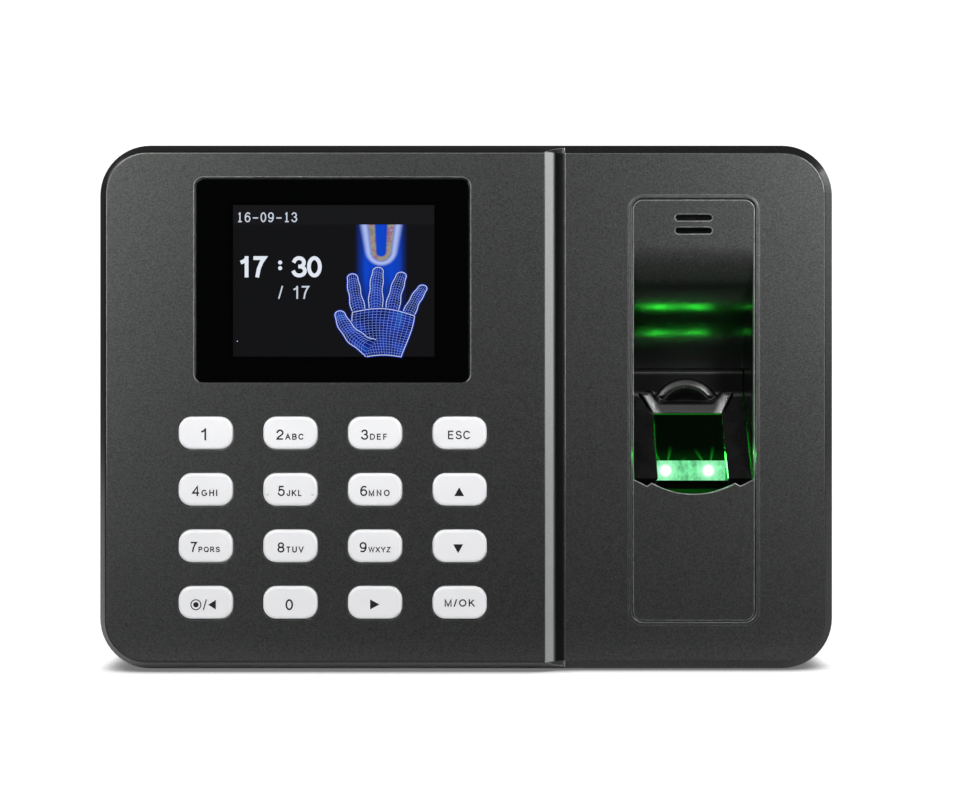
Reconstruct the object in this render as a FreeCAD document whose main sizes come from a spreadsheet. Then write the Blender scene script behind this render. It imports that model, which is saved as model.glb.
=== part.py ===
import FreeCAD, Part
import Sketcher
import math
import os
from FreeCAD import Placement, Rotation, Vector

# Wall-mounted fingerprint time terminal: display and keys on the left panel, sensor on the right.
# Frame: millimetres, +Z up, the user stands at -Y and looks along +Y.
# Origin: centre of the wall bracket's back face, so Y = 0 is the wall.
# A "depth", "face", "front", "back" or "end" below is a distance in front of the wall, so Y = -depth.

doc = FreeCAD.newDocument("fingerprint_terminal")
sheet = doc.addObject("Spreadsheet::Sheet", "Dims")


# ================================================================ driving dimensions
def num(v):
    return v.value if isinstance(v, Dim) else float(v)


def text(v):
    return v.text if isinstance(v, Dim) else repr(float(v))


def combine(left, sign, right, value):
    return Dim("(%s %s %s)" % (text(left), sign, text(right)), value)


class Dim:
    """A driving dimension: its expression for the document and its number."""

    def __init__(self, expression, value):
        self.text = expression
        self.value = float(value)

    def __add__(self, other):
        return combine(self, "+", other, self.value + num(other))

    def __sub__(self, other):
        return combine(self, "-", other, self.value - num(other))

    def __rsub__(self, other):
        return combine(other, "-", self, num(other) - self.value)

    def __mul__(self, other):
        return combine(self, "*", other, self.value * num(other))

    def __rmul__(self, other):
        return combine(other, "*", self, num(other) * self.value)

    def __truediv__(self, other):
        return combine(self, "/", other, self.value / num(other))

    def __neg__(self):
        return self * -1


ALIASES = []


def dim(alias, value, note=""):
    """Add one row to the spreadsheet: alias, value, note."""
    ALIASES.append(alias)
    row = str(len(ALIASES))
    sheet.set("A" + row, alias)
    sheet.set("B" + row, repr(float(value)))
    sheet.set("C" + row, note)
    sheet.setAlias("B" + row, alias)
    return Dim("Dims." + alias, value)


# ---------------------------------------------------------------- case
case_width = dim("case_width", 175, "overall X")
case_height = dim("case_height", 125, "overall Z")
case_radius = dim("case_radius", 12, "outline corner radius")
case_wall = dim("case_wall", 2.2, "side wall")
rear_inset = dim("rear_inset", 0.2, "rear shell steps in at the seam")
back_face = dim("back_face", 0.4, "rear shell's back, in front of the wall")
seam_depth = dim("seam_depth", 30, "front cover's rear edge, in front of the wall")
seam_gap = dim("seam_gap", 0.05, "rear shell stops short of the front cover")
skirt_depth = dim("skirt_depth", 31.5, "where the bevel starts")
left_face = dim("left_face", 36, "left panel's face")
right_face = dim("right_face", 33.4, "right panel's face")
bevel_angle = dim("bevel_angle", 26, "left panel's bevel, degrees")
right_bevel_angle = dim("right_bevel_angle", 48, "right panel's bevel, degrees")
left_rim_round = dim("left_rim_round", 0.7)
right_rim_round = dim("right_rim_round", 0.45)
left_ceiling = dim("left_ceiling", 33.5, "inside of the left panel")
right_ceiling = dim("right_ceiling", 31.2, "inside of the right panel")
left_hollow_radius = dim("left_hollow_radius", 9.0)
groove_start = dim("groove_start", 18.6, "X of the groove's left edge")
groove_floor = dim("groove_floor", 33.05, "groove's deepest line")
rear_edge_round = dim("rear_edge_round", 2.5, "rounded edge against the wall")
# ---------------------------------------------------------------- display
lens_x = dim("lens_x", -31.6)
lens_z = dim("lens_z", 30.0)
lens_width = dim("lens_width", 65.0)
lens_height = dim("lens_height", 48.3)
lens_radius = dim("lens_radius", 2.0)
lens_gap = dim("lens_gap", 0.15)
lens_thick = dim("lens_thick", 1.2)
lens_recess = dim("lens_recess", 1.5)
lens_edge = dim("lens_edge", 0.2, "rounding of the lens's front edge")
tape_thick = dim("tape_thick", 0.1)
tape_window_w = dim("tape_window_w", 57.0)
tape_window_h = dim("tape_window_h", 42.5)
lcd_x = dim("lcd_x", -31.0)
lcd_z = dim("lcd_z", 29.7)
lcd_window_w = dim("lcd_window_w", 54.5)
lcd_window_h = dim("lcd_window_h", 40.5)
lcd_window_r = dim("lcd_window_r", 1.0)
lcd_frame_w = dim("lcd_frame_w", 60.2)
lcd_frame_h = dim("lcd_frame_h", 43.0)
lcd_frame_back = dim("lcd_frame_back", 30.6)
lcd_frame_thick = dim("lcd_frame_thick", 2.8)
lcd_glass_w = dim("lcd_glass_w", 58.0)
lcd_glass_h = dim("lcd_glass_h", 40.8)
lcd_bracket_back = dim("lcd_bracket_back", 29.2)
lcd_bracket_thick = dim("lcd_bracket_thick", 1.2)
lcd_screw_x = dim("lcd_screw_x", 34.5, "half spacing")
lcd_screw_z = dim("lcd_screw_z", 17.3, "half spacing")
ribbon_width = dim("ribbon_width", 16.0)
# ---------------------------------------------------------------- keys
key_first_x = dim("key_first_x", -61.5)
key_first_z = dim("key_first_z", -6.15)
key_pitch_x = dim("key_pitch_x", 20.0)
key_pitch_z = dim("key_pitch_z", 13.35)
key_width = dim("key_width", 12.86)
key_height = dim("key_height", 7.75)
key_radius = dim("key_radius", 3.1)
key_gap = dim("key_gap", 0.22)
key_proud = dim("key_proud", 0.8, "key tops above the left panel")
key_round = dim("key_round", 0.9)
flange_width = dim("flange_width", 15.2)
flange_height = dim("flange_height", 10.0)
flange_thick = dim("flange_thick", 0.95)
flange_back = dim("flange_back", 32.5)
membrane_front = dim("membrane_front", 30.5)
membrane_back = dim("membrane_back", 29.72)
pad_centre_x = dim("pad_centre_x", -31.5)
pad_centre_z = dim("pad_centre_z", -26.2)
pad_width = dim("pad_width", 79.0)
pad_height = dim("pad_height", 53.0)
keypad_board_back = dim("keypad_board_back", 28.1)
# ---------------------------------------------------------------- sensor
sensor_x = dim("sensor_x", 54.2)
sensor_mid_z = dim("sensor_mid_z", -0.75)
sensor_open_w = dim("sensor_open_w", 29.3)
sensor_open_h = dim("sensor_open_h", 100.5)
sensor_open_r = dim("sensor_open_r", 2.6)
bead_width = dim("bead_width", 0.9)
bead_height = dim("bead_height", 0.35)
bead_round = dim("bead_round", 0.28)
plate_face = dim("plate_face", 33.3, "bezel plates' face")
bezel_gap = dim("bezel_gap", 0.15)
bezel_back = dim("bezel_back", 29.65, "back of the bezel's flange")
bezel_flange = dim("bezel_flange", 1.5, "flange thickness")
well_back = dim("well_back", 14.25, "half width of the well at its back")
hood_radius = dim("hood_radius", 20.0)
cove_radius = dim("cove_radius", 14.0)
hood_wall = dim("hood_wall", 1.8)
slot_length = dim("slot_length", 8.8)
slot_height = dim("slot_height", 1.5)
prism_width = dim("prism_width", 16.5)
# ---------------------------------------------------------------- fastening
boss_radius = dim("boss_radius", 3.2)
boss_end = dim("boss_end", 22.0, "rear end of the case bosses")
lcd_boss_radius = dim("lcd_boss_radius", 2.2)
lcd_boss_end = dim("lcd_boss_end", 30.45)
keypad_boss_radius = dim("keypad_boss_radius", 1.9)
keypad_boss_end = dim("keypad_boss_end", 29.75)
case_pilot = dim("case_pilot", 1.2, "hole radius")
small_pilot = dim("small_pilot", 0.8, "hole radius")
small_clear = dim("small_clear", 1.1, "hole radius")
post_radius = dim("post_radius", 4.3)
case_seat = dim("case_seat", 10.0, "where the case screws' heads seat")
wall_hole_x = dim("wall_hole_x", 40.0, "half spacing of the wall screws")
wall_hole_z = dim("wall_hole_z", 30.0)
wall_hole_r = dim("wall_hole_r", 2.25)
bracket_thick = dim("bracket_thick", 1.2)
bracket_half_w = dim("bracket_half_w", 52.0)
bracket_top = dim("bracket_top", 40.0)
bracket_bottom = dim("bracket_bottom", -47.0)
hook_x = dim("hook_x", 24.0, "half spacing of the hooks")
lock_y = dim("lock_y", -7.0, "Y of the upright lock screw")
pcb_front = dim("pcb_front", 13.6)
pcb_back = dim("pcb_back", 12.0)
doc.recompute()

# ---------------------------------------------------------------- shared places
SIDES = (("left", -1), ("right", 1))
# screw centres, (X, Z)
case_spots_left = [(-79.0, 54.0), (-79.0, -54.0)]
case_spots_right = [(27.0, 56.3), (27.0, -56.3), (79.0, 54.0), (79.0, -54.0)]
case_spots = case_spots_left + case_spots_right
lcd_spots = [(lcd_x + i * lcd_screw_x, lcd_z + j * lcd_screw_z) for i in (-1, 1) for j in (-1, 1)]
keypad_spots = [(-51.5, -3.0), (-11.5, -3.0), (-51.5, -49.3), (-11.5, -49.3), (-31.5, -26.2)]
bezel_spots = [(sensor_x + i * 17.9, z) for i in (-1, 1) for z in (-50.0, -16.0, 16.0, 48.4)]
sensor_spots = [(sensor_x + i * 10.0, -29.2) for i in (-1, 1)]
camera_spots = [(sensor_x + i * 11.3, z) for i in (-1, 1) for z in (-22.5, 4.5)]
pcb_spots = [(-68.0, 34.0), (14.0, 34.0), (-68.0, -40.0), (14.0, -40.0)]

KEYS = [["key_1", "key_2", "key_3", "key_esc"],
        ["key_4", "key_5", "key_6", "key_up"],
        ["key_7", "key_8", "key_9", "key_down"],
        ["key_power_left", "key_0", "key_right", "key_menu_ok"]]

sensor_cut_start = 34.0  # depth from which the bezel and the housing are cut
mouth_top = 38.6
housing_drop = 0.2  # the housing's scallop lies this far above the bezel's
# scalloped lower edge of the bezel's mouth: X from the sensor's middle, Z, arc radius
SCALLOP = [(-14.3, -17.2), (-11.1, -18.85), (-9.9, -18.1, 19.9),
           (9.9, -18.1), (11.1, -18.85), (14.3, -17.2)]

board_face = -(num(pcb_front) + 0.05)  # Y on which the main board's components stand
# sockets on the main board's lower edge: X of the middle, width, height off the board
SOCKETS = {"power": (-55.0, 9.0, 11.0),
           "ethernet": (-30.0, 16.0, 13.5),
           "usb": (-5.0, 13.2, 6.8)}
socket_bottom = -61.6
socket_play = 0.8  # the case's openings are this much larger than the sockets

NODES = []


def keep(obj):
    """Register an object as a piece to export under its label."""
    NODES.append(obj)
    return obj


def drive(obj, prop, v):
    """Set a property and bind it when its value is a dimension."""
    setattr(obj, prop, num(v))
    bind(obj, prop, v)


def bind(obj, prop, v):
    if isinstance(v, Dim):
        obj.setExpression(prop, v.text)


# ================================================================ sketches
def body(name):
    return keep(doc.addObject("PartDesign::Body", name))


def sketch_on(part, name, role, x=0.0, y=0.0, out=0.0):
    """Sketch on an origin plane: x, y are its own axes, out is along its normal.
    The normals are -Y for XZ_Plane, +X for YZ_Plane and +Z for XY_Plane."""
    plane = [f for f in part.Origin.OriginFeatures if f.Role == role][0]
    sketch = part.newObject("Sketcher::SketchObject", part.Name + "_" + name)
    sketch.AttachmentSupport = [(plane, "")]
    sketch.MapMode = "FlatFace"
    sketch.AttachmentOffset = Placement(Vector(num(x), num(y), num(out)), Rotation())
    bind(sketch, "AttachmentOffset.Base.x", x)
    bind(sketch, "AttachmentOffset.Base.y", y)
    bind(sketch, "AttachmentOffset.Base.z", out)
    return sketch


def measure(sketch, label, v, *constraint):
    """Add a dimensional constraint, name it and bind it."""
    index = sketch.addConstraint(Sketcher.Constraint(*constraint))
    sketch.renameConstraint(index, label)
    bind(sketch, "Constraints." + label, v)


def add_rounded(sketch, width, height, radius, tag=""):
    """Rounded rectangle about the sketch's own origin."""
    w = num(width) / 2
    h = num(height) / 2
    r = num(radius)
    n = sketch.GeometryCount
    lines = [((-w + r, -h), (w - r, -h)), ((w, -h + r), (w, h - r)),
             ((w - r, h), (-w + r, h)), ((-w, h - r), (-w, -h + r))]
    # corner centre, start angle in degrees
    corners = [((w - r, -h + r), -90), ((w - r, h - r), 0),
               ((-w + r, h - r), 90), ((-w + r, -h + r), 180)]
    shapes = []
    for (start, end), (centre, angle) in zip(lines, corners):
        circle = Part.Circle(Vector(centre[0], centre[1], 0), Vector(0, 0, 1), r)
        shapes.append(Part.LineSegment(Vector(*start, 0), Vector(*end, 0)))
        shapes.append(Part.ArcOfCircle(circle, math.radians(angle), math.radians(angle + 90)))
    sketch.addGeometry(shapes, False)
    rules = [Sketcher.Constraint("Tangent", n + i, 2, n + (i + 1) % 8, 1) for i in range(8)]
    rules += [Sketcher.Constraint("Horizontal", n), Sketcher.Constraint("Vertical", n + 2),
              Sketcher.Constraint("Horizontal", n + 4), Sketcher.Constraint("Vertical", n + 6)]
    rules += [Sketcher.Constraint("Equal", n + i, n + i + 2) for i in (1, 3, 5)]
    sketch.addConstraint(rules)
    measure(sketch, tag + "corner", radius, "Radius", n + 1, r)
    measure(sketch, tag + "width", width, "DistanceX", n + 6, 1, n + 2, 1, 2 * w)
    measure(sketch, tag + "height", height, "DistanceY", n, 1, n + 4, 1, 2 * h)
    sketch.addConstraint(Sketcher.Constraint("Symmetric", n, 1, n + 4, 1, -1, 1))


def add_circles(sketch, spots, radius):
    first = sketch.GeometryCount
    for k, (x, y) in enumerate(spots):
        centre = Vector(num(x), num(y), 0)
        sketch.addGeometry(Part.Circle(centre, Vector(0, 0, 1), num(radius)), False)
        measure(sketch, "hole%d_x" % k, x, "DistanceX", -1, 1, first + k, 3, num(x))
        measure(sketch, "hole%d_y" % k, y, "DistanceY", -1, 1, first + k, 3, num(y))
        if k:
            sketch.addConstraint(Sketcher.Constraint("Equal", first, first + k))
    measure(sketch, "hole_radius", radius, "Radius", first, num(radius))


def arc_between(start, end, radius):
    """Minor arc; anticlockwise from start to end when the radius is positive."""
    chord = end.sub(start)
    left = Vector(-chord.y, chord.x, 0).normalize()
    rise = math.sqrt(max(radius * radius - (chord.Length / 2) ** 2, 0.0))
    middle = start.add(end).multiply(0.5)
    centre = middle.add(left.multiply(rise if radius > 0 else -rise))
    a, b = (start, end) if radius > 0 else (end, start)
    angle_0 = math.atan2(a.y - centre.y, a.x - centre.x)
    angle_1 = math.atan2(b.y - centre.y, b.x - centre.x)
    if angle_1 < angle_0:
        angle_1 += 2 * math.pi
    circle = Part.Circle(centre, Vector(0, 0, 1), abs(radius))
    return Part.ArcOfCircle(circle, angle_0, angle_1)


def add_profile(sketch, corners):
    """Closed profile; a third value is the radius of the arc to the next corner,
    positive when the arc turns anticlockwise."""
    first = sketch.GeometryCount
    count = len(corners)
    ends = []  # each segment's own start and end point numbers
    for i, corner in enumerate(corners):
        following = corners[(i + 1) % count]
        start = Vector(num(corner[0]), num(corner[1]), 0)
        end = Vector(num(following[0]), num(following[1]), 0)
        if len(corner) == 2:
            sketch.addGeometry(Part.LineSegment(start, end), False)
            ends.append((1, 2))
        else:
            radius = num(corner[2])
            sketch.addGeometry(arc_between(start, end, radius), False)
            ends.append((1, 2) if radius > 0 else (2, 1))
    for i in range(count):
        j = (i + 1) % count
        sketch.addConstraint(
            Sketcher.Constraint("Coincident", first + i, ends[i][1], first + j, ends[j][0]))
    for i, corner in enumerate(corners):
        x, y = corner[:2]
        measure(sketch, "v%d_x" % i, x, "DistanceX", -1, 1, first + i, ends[i][0], num(x))
        measure(sketch, "v%d_y" % i, y, "DistanceY", -1, 1, first + i, ends[i][0], num(y))
        if len(corner) == 3:
            radius = corner[2] if num(corner[2]) > 0 else -corner[2]
            measure(sketch, "v%d_r" % i, radius, "Radius", first + i, num(radius))


def rounded(part, name, out, width, height, radius, x=0.0, z=0.0):
    """Rounded rectangle parallel to the wall, at depth out."""
    sketch = sketch_on(part, name, "XZ_Plane", x, z, out)
    add_rounded(sketch, width, height, radius)
    return sketch


def circles(part, name, out, spots, radius, x=0.0, z=0.0):
    """Circles parallel to the wall, at depth out."""
    sketch = sketch_on(part, name, "XZ_Plane", x, z, out)
    add_circles(sketch, spots, radius)
    return sketch


def front_profile(part, name, out, corners, x=0.0):
    """Profile of (X, Z) corners parallel to the wall, at depth out."""
    sketch = sketch_on(part, name, "XZ_Plane", x, 0, out)
    add_profile(sketch, corners)
    return sketch


def side_profile(part, name, x, corners):
    """Profile of (Y, Z) corners at x."""
    sketch = sketch_on(part, name, "YZ_Plane", out=x)
    add_profile(sketch, corners)
    return sketch


def top_profile(part, name, z, corners, x=0.0):
    """Profile of (X, Y) corners at height z."""
    sketch = sketch_on(part, name, "XY_Plane", x, 0, z)
    add_profile(sketch, corners)
    return sketch


def lock_circle(part, name, z, radius):
    """Circle round the lock screw's axis at height z."""
    sketch = sketch_on(part, name, "XY_Plane", 0, lock_y, z)
    add_circles(sketch, [(0, 0)], radius)
    return sketch


# ================================================================ features
def extrude(kind, part, sketch, length, mid, along, name):
    feature_name = part.Name + "_" + name if name else sketch.Name
    feature = part.newObject("PartDesign::" + kind, feature_name)
    feature.Profile = sketch
    drive(feature, "Length", length)
    feature.Midplane = mid
    feature.Reversed = along
    part.Tip = feature
    return feature


def pad(part, sketch, length, taper=None, mid=False, name=None):
    """Adds along the sketch's normal, or to both sides when mid is set."""
    feature = extrude("Pad", part, sketch, length, mid, False, name)
    if taper is not None:
        drive(feature, "TaperAngle", taper)
    return feature


def pocket(part, sketch, length, mid=False, along=False):
    """Cuts against the sketch's normal, or along it when along is set."""
    doc.recompute()
    before = part.Tip.Shape.Volume
    feature = extrude("Pocket", part, sketch, length, mid, along, None)
    doc.recompute()
    if not feature.Shape.Volume < before - 1e-3:
        raise SystemExit("pocket %s cuts nothing" % feature.Name)
    return feature


def at_depth(depth, tolerance=1e-4):
    """Test for edges that lie wholly at one depth."""
    y = -num(depth)

    def test(edge):
        return (all(abs(v.Point.y - y) < tolerance for v in edge.Vertexes)
                and abs(edge.CenterOfMass.y - y) < tolerance)
    return test


def round_edges(part, name, test, radius):
    doc.recompute()
    base = part.Tip
    names = ["Edge%d" % (i + 1) for i, edge in enumerate(base.Shape.Edges) if test(edge)]
    if not names:
        raise SystemExit("no edges for %s_%s" % (part.Name, name))
    feature = part.newObject("PartDesign::Fillet", part.Name + "_" + name)
    feature.Base = (base, names)
    drive(feature, "Radius", radius)
    part.Tip = feature
    doc.recompute()


def repeat_for_keys(part, name, originals, sketch):
    """Repeat the first key's features across and down the key field."""
    steps_x = len(KEYS[0]) - 1
    steps_z = len(KEYS) - 1
    pattern = part.newObject("PartDesign::MultiTransform", part.Name + "_" + name)
    pattern.Originals = originals
    across = doc.addObject("PartDesign::LinearPattern", pattern.Name + "_across")
    down = doc.addObject("PartDesign::LinearPattern", pattern.Name + "_down")
    across.Direction = (sketch, ["H_Axis"])
    across.Occurrences = steps_x + 1
    drive(across, "Length", key_pitch_x * steps_x)
    down.Direction = (sketch, ["V_Axis"])
    down.Occurrences = steps_z + 1
    down.Reversed = True
    drive(down, "Length", key_pitch_z * steps_z)
    pattern.Transformations = [across, down]
    part.Tip = pattern
    doc.recompute()


def drilled_board(name, out, thick, width, height, radius, x, z, spots, hole_radius):
    """Circuit board with its screw holes."""
    board = body(name)
    pad(board, rounded(board, "board", out, width, height, radius, x, z), thick)
    pocket(board, circles(board, "holes", out + thick, spots, hole_radius), thick)


# ================================================================ primitives
def place(obj, x, y, z, turn=None):
    obj.Placement = Placement(Vector(num(x), num(y), num(z)), turn or Rotation())
    for axis, v in (("x", x), ("y", y), ("z", z)):
        bind(obj, "Placement.Base." + axis, v)
    return obj


def block(name, x0, x1, y0, y1, z0, z1):
    """Box between two corners."""
    box = doc.addObject("Part::Box", name)
    drive(box, "Length", x1 - x0)
    drive(box, "Width", y1 - y0)
    drive(box, "Height", z1 - z0)
    return place(box, x0, y0, z0)


def rod(name, x, y, z, radius, length, axis="Y"):
    """Cylinder starting at a point and running along +Y or +Z."""
    cylinder = doc.addObject("Part::Cylinder", name)
    drive(cylinder, "Radius", radius)
    drive(cylinder, "Height", length)
    turn = {"Y": Rotation(Vector(1, 0, 0), -90), "Z": Rotation()}[axis]
    return place(cylinder, x, y, z, turn)


def mounted(name, x0, x1, z0, z1, front, back=0.0):
    """Box on the main board, between two distances off its front."""
    return block(name, x0, x1, board_face - front, board_face - back, z0, z1)


def socket_body(name, kind, top):
    x, width, height = SOCKETS[kind]
    return mounted(name, x - width / 2, x + width / 2, socket_bottom, top, height)


def fuse(name, parts):
    union = doc.addObject("Part::MultiFuse", name)
    union.Shapes = parts
    return union


def cut(name, base, tool):
    difference = doc.addObject("Part::Cut", name)
    difference.Base = base
    difference.Tool = tool
    return difference


def group(name, parts):
    """Separate solids of one kind in one piece."""
    compound = doc.addObject("Part::Compound", name)
    compound.Links = parts
    keep(compound)


def lead(name, points, radius):
    """Soft round lead along a smooth curve through (X, Y, Z) points."""
    curve = Part.BSplineCurve()
    curve.interpolate([Vector(*p) for p in points])
    path = Part.Wire([curve.toShape()])
    direction = curve.tangent(curve.FirstParameter)[0]
    ring = Part.Wire([Part.Circle(Vector(*points[0]), direction, radius).toShape()])
    wire = doc.addObject("Part::Feature", name)
    wire.Shape = path.makePipeShell([ring], True, False)
    return wire


# ================================================================ front cover
def outer_rim(depth, x_low, x_high):
    """Test for edges of a panel's face near the case outline, between two X values."""
    level = at_depth(depth)

    def test(edge):
        if not level(edge):
            return False
        middle = edge.CenterOfMass
        far = abs(middle.z) > 55 or abs(middle.x) > 78
        return far and x_low <= middle.x <= x_high
    return test


def make_panels(cover):
    """Skirt, the two bevelled panels and the groove between them."""
    outline = (case_width, case_height, case_radius)
    beyond = 5  # cuts reach this far past the case
    top = case_height / 2 + beyond
    front = -(left_face + beyond)
    pad(cover, rounded(cover, "skirt", seam_depth, *outline), skirt_depth - seam_depth)
    pad(cover, rounded(cover, "bevel", skirt_depth, *outline), left_face - skirt_depth,
        taper=-bevel_angle)
    # the right panel lies lower, with a flatter bevel of its own
    left = groove_start + 4.95
    right = case_width / 2 + beyond
    corners = [(left, -skirt_depth), (right, -skirt_depth), (right, front), (left, front)]
    pocket(cover, top_profile(cover, "right_cut", top, corners), case_height + 2 * beyond)
    pad(cover, rounded(cover, "right_panel", skirt_depth, *outline), right_face - skirt_depth,
        taper=-right_bevel_angle)
    # the groove has one broad sloping side
    corners = [(groove_start - 0.15, -left_face),
               (groove_start + 0.13, -(left_face - 0.113)),
               (groove_start + 2.3, -(left_face - 2.0)),
               (groove_start + 4.6, -groove_floor),
               (groove_start + 4.78, -(right_face - 0.17)),
               (groove_start + 5.2, -right_face),
               (groove_start + 5.2, front),
               (groove_start - 0.15, front)]
    pocket(cover, top_profile(cover, "groove", top, corners), case_height + 2 * beyond)
    round_edges(cover, "left_rim_round", outer_rim(left_face, -90, 18.2), left_rim_round)
    round_edges(cover, "right_rim_round", outer_rim(right_face, 24, 90), right_rim_round)


def make_cover_bosses(cover):
    """Bosses and pilot holes for the case, display, keypad and bezel screws."""
    case_boss_top = 0.2  # how far the bosses reach into the panels
    small_boss_top = 0.15
    # name, rear end, centres, radius, front end
    for name, end, spots, radius, top in (
            ("case_bosses_left", boss_end, case_spots_left, boss_radius,
             left_ceiling + case_boss_top),
            ("case_bosses_right", boss_end, case_spots_right, boss_radius,
             right_ceiling + case_boss_top),
            ("lcd_bosses", lcd_boss_end, lcd_spots, lcd_boss_radius,
             left_ceiling + small_boss_top),
            ("keypad_bosses", keypad_boss_end, keypad_spots, keypad_boss_radius,
             left_ceiling + small_boss_top)):
        pad(cover, circles(cover, name, end, spots, radius), top - end)
    # name, rear end, centres, radius, depth
    for name, end, spots, radius, depth in (
            ("case_pilots", boss_end, case_spots, case_pilot, 7.4),
            ("lcd_pilots", lcd_boss_end, lcd_spots, small_pilot, 2.75),
            ("keypad_pilots", keypad_boss_end, keypad_spots, small_pilot, 2.9),
            ("bezel_pilots", right_ceiling, bezel_spots, small_pilot, 1.5)):
        pocket(cover, circles(cover, name, end, spots, radius), depth, along=True)


def make_sensor_opening(cover):
    """Opening for the sensor insert, with a raised bead round it."""
    opening = (sensor_open_w, sensor_open_h, sensor_open_r)
    pocket(cover, rounded(cover, "sensor_opening", left_face, *opening, sensor_x, sensor_mid_z),
           6.0)
    sketch = sketch_on(cover, "bead", "XZ_Plane", sensor_x, sensor_mid_z, right_face)
    add_rounded(sketch, *opening, "inner_")
    add_rounded(sketch, sensor_open_w + 2 * bead_width, sensor_open_h + 2 * bead_width,
                sensor_open_r + bead_width, "outer_")
    pad(cover, sketch, bead_height)
    round_edges(cover, "bead_round", at_depth(right_face + bead_height), bead_round)


def make_front_cover():
    cover = body("front_cover")
    make_panels(cover)
    recess = rounded(cover, "lens_recess", left_face, lens_width + 2 * lens_gap,
                     lens_height + 2 * lens_gap, lens_radius + lens_gap, lens_x, lens_z)
    pocket(cover, recess, lens_recess)
    # hollow inside, deeper behind the left panel
    hollow = rounded(cover, "hollow", seam_depth, case_width - 2 * case_wall,
                     case_height - 2 * case_wall, case_radius - case_wall)
    pocket(cover, hollow, right_ceiling - seam_depth, along=True)
    hollow = rounded(cover, "left_hollow", right_ceiling, 100.8, case_height - 5.8,
                     left_hollow_radius, x=-34.2)
    pocket(cover, hollow, left_ceiling - right_ceiling, along=True)
    make_cover_bosses(cover)
    window = rounded(cover, "lcd_window", left_face, lcd_window_w, lcd_window_h, lcd_window_r,
                     lcd_x, lcd_z)
    pocket(cover, window, 3.0)
    make_sensor_opening(cover)
    sketch = rounded(cover, "key_hole", left_face, key_width + 2 * key_gap,
                     key_height + 2 * key_gap, key_radius + key_gap, key_first_x, key_first_z)
    key_hole = pocket(cover, sketch, 4.0)
    repeat_for_keys(cover, "key_holes", [key_hole], sketch)


# ================================================================ display
def make_display_lens():
    lens = body("display_lens")
    lens_back = left_face - lens_recess + tape_thick
    outline = rounded(lens, "outline", lens_back, lens_width, lens_height, lens_radius,
                      lens_x, lens_z)
    pad(lens, outline, lens_thick, name="sheet")
    round_edges(lens, "edge", at_depth(lens_back + lens_thick), lens_edge)


def make_lens_adhesive():
    tape = body("lens_adhesive")
    ring = sketch_on(tape, "ring", "XZ_Plane", lens_x, lens_z, left_face - lens_recess)
    add_rounded(ring, lens_width - 0.6, lens_height - 0.6, lens_radius - 0.2, "outer_")
    add_rounded(ring, tape_window_w, tape_window_h, 1.5, "inner_")
    pad(tape, ring, tape_thick)


def make_lcd_frame():
    """Tray, open to the front, round the backlight and glass."""
    play = 0.3
    frame = body("lcd_frame")
    pad(frame, rounded(frame, "outline", lcd_frame_back, lcd_frame_w, lcd_frame_h, 1.0,
                       lcd_x, lcd_z), lcd_frame_thick, name="tray")
    pocket(frame, rounded(frame, "cavity", lcd_frame_back + lcd_frame_thick, lcd_glass_w + play,
                          lcd_glass_h + play, 0.5, lcd_x, lcd_z), 2.4)


def make_lcd_sheets():
    # piece, back, thickness, how much smaller than the glass
    for name, back, thick, less in (("lcd_backlight", 31.05, 0.85, 0.2),
                                    ("lcd_glass", 31.95, 1.4, 0.0)):
        layer = body(name)
        outline = rounded(layer, "outline", back, lcd_glass_w - less, lcd_glass_h - less, 0.4,
                          lcd_x, lcd_z)
        pad(layer, outline, thick, name="sheet")


def make_lcd_bracket():
    bracket = body("lcd_bracket")
    outline = sketch_on(bracket, "outline", "XZ_Plane", lcd_x, lcd_z, lcd_bracket_back)
    add_rounded(outline, 75.0, 40.6, 2.0, "outer_")
    add_rounded(outline, 40.0, 22.0, 2.0, "window_")
    pad(bracket, outline, lcd_bracket_thick, name="plate")
    pocket(bracket, circles(bracket, "holes", lcd_bracket_back + lcd_bracket_thick, lcd_spots,
                            small_clear), lcd_bracket_thick)


def make_ribbon(name, x, width, corners):
    """Flat cable, constant along X, from its (Y, Z) section."""
    ribbon = body(name)
    pad(ribbon, side_profile(ribbon, "run", x, corners), width, mid=True)


def make_display():
    make_display_lens()
    make_lens_adhesive()
    make_lcd_frame()
    make_lcd_sheets()
    make_lcd_bracket()
    make_ribbon("lcd_ribbon", lcd_x, ribbon_width,
                [(-30.5, 24.0), (-28.6, 24.0), (-28.6, 12.0), (-15.2, 12.0), (-15.2, 12.3),
                 (-28.3, 12.3), (-28.3, 24.3), (-30.5, 24.3)])


# ================================================================ keys
def make_key(name, x, z):
    """Key drawn about the origin, then moved to its place; key_5 has two small ribs."""
    key = body(name)
    cap_back = flange_back + flange_thick
    cap_top = left_face + key_proud
    pad(key, rounded(key, "cap", cap_back, key_width, key_height, key_radius),
        cap_top - cap_back)
    round_edges(key, "cap_round", at_depth(cap_top), key_round)
    pad(key, rounded(key, "flange", flange_back, flange_width, flange_height, key_radius + 1.0),
        flange_thick)
    if name == "key_5":
        for side, sign in SIDES:
            rib = rounded(key, "rib_" + side, cap_top - 0.3, width=0.5, height=2.3,
                          radius=0.24, x=sign * 5.35)
            pad(key, rib, 0.5)
    place(key, x, 0, z)


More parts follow.
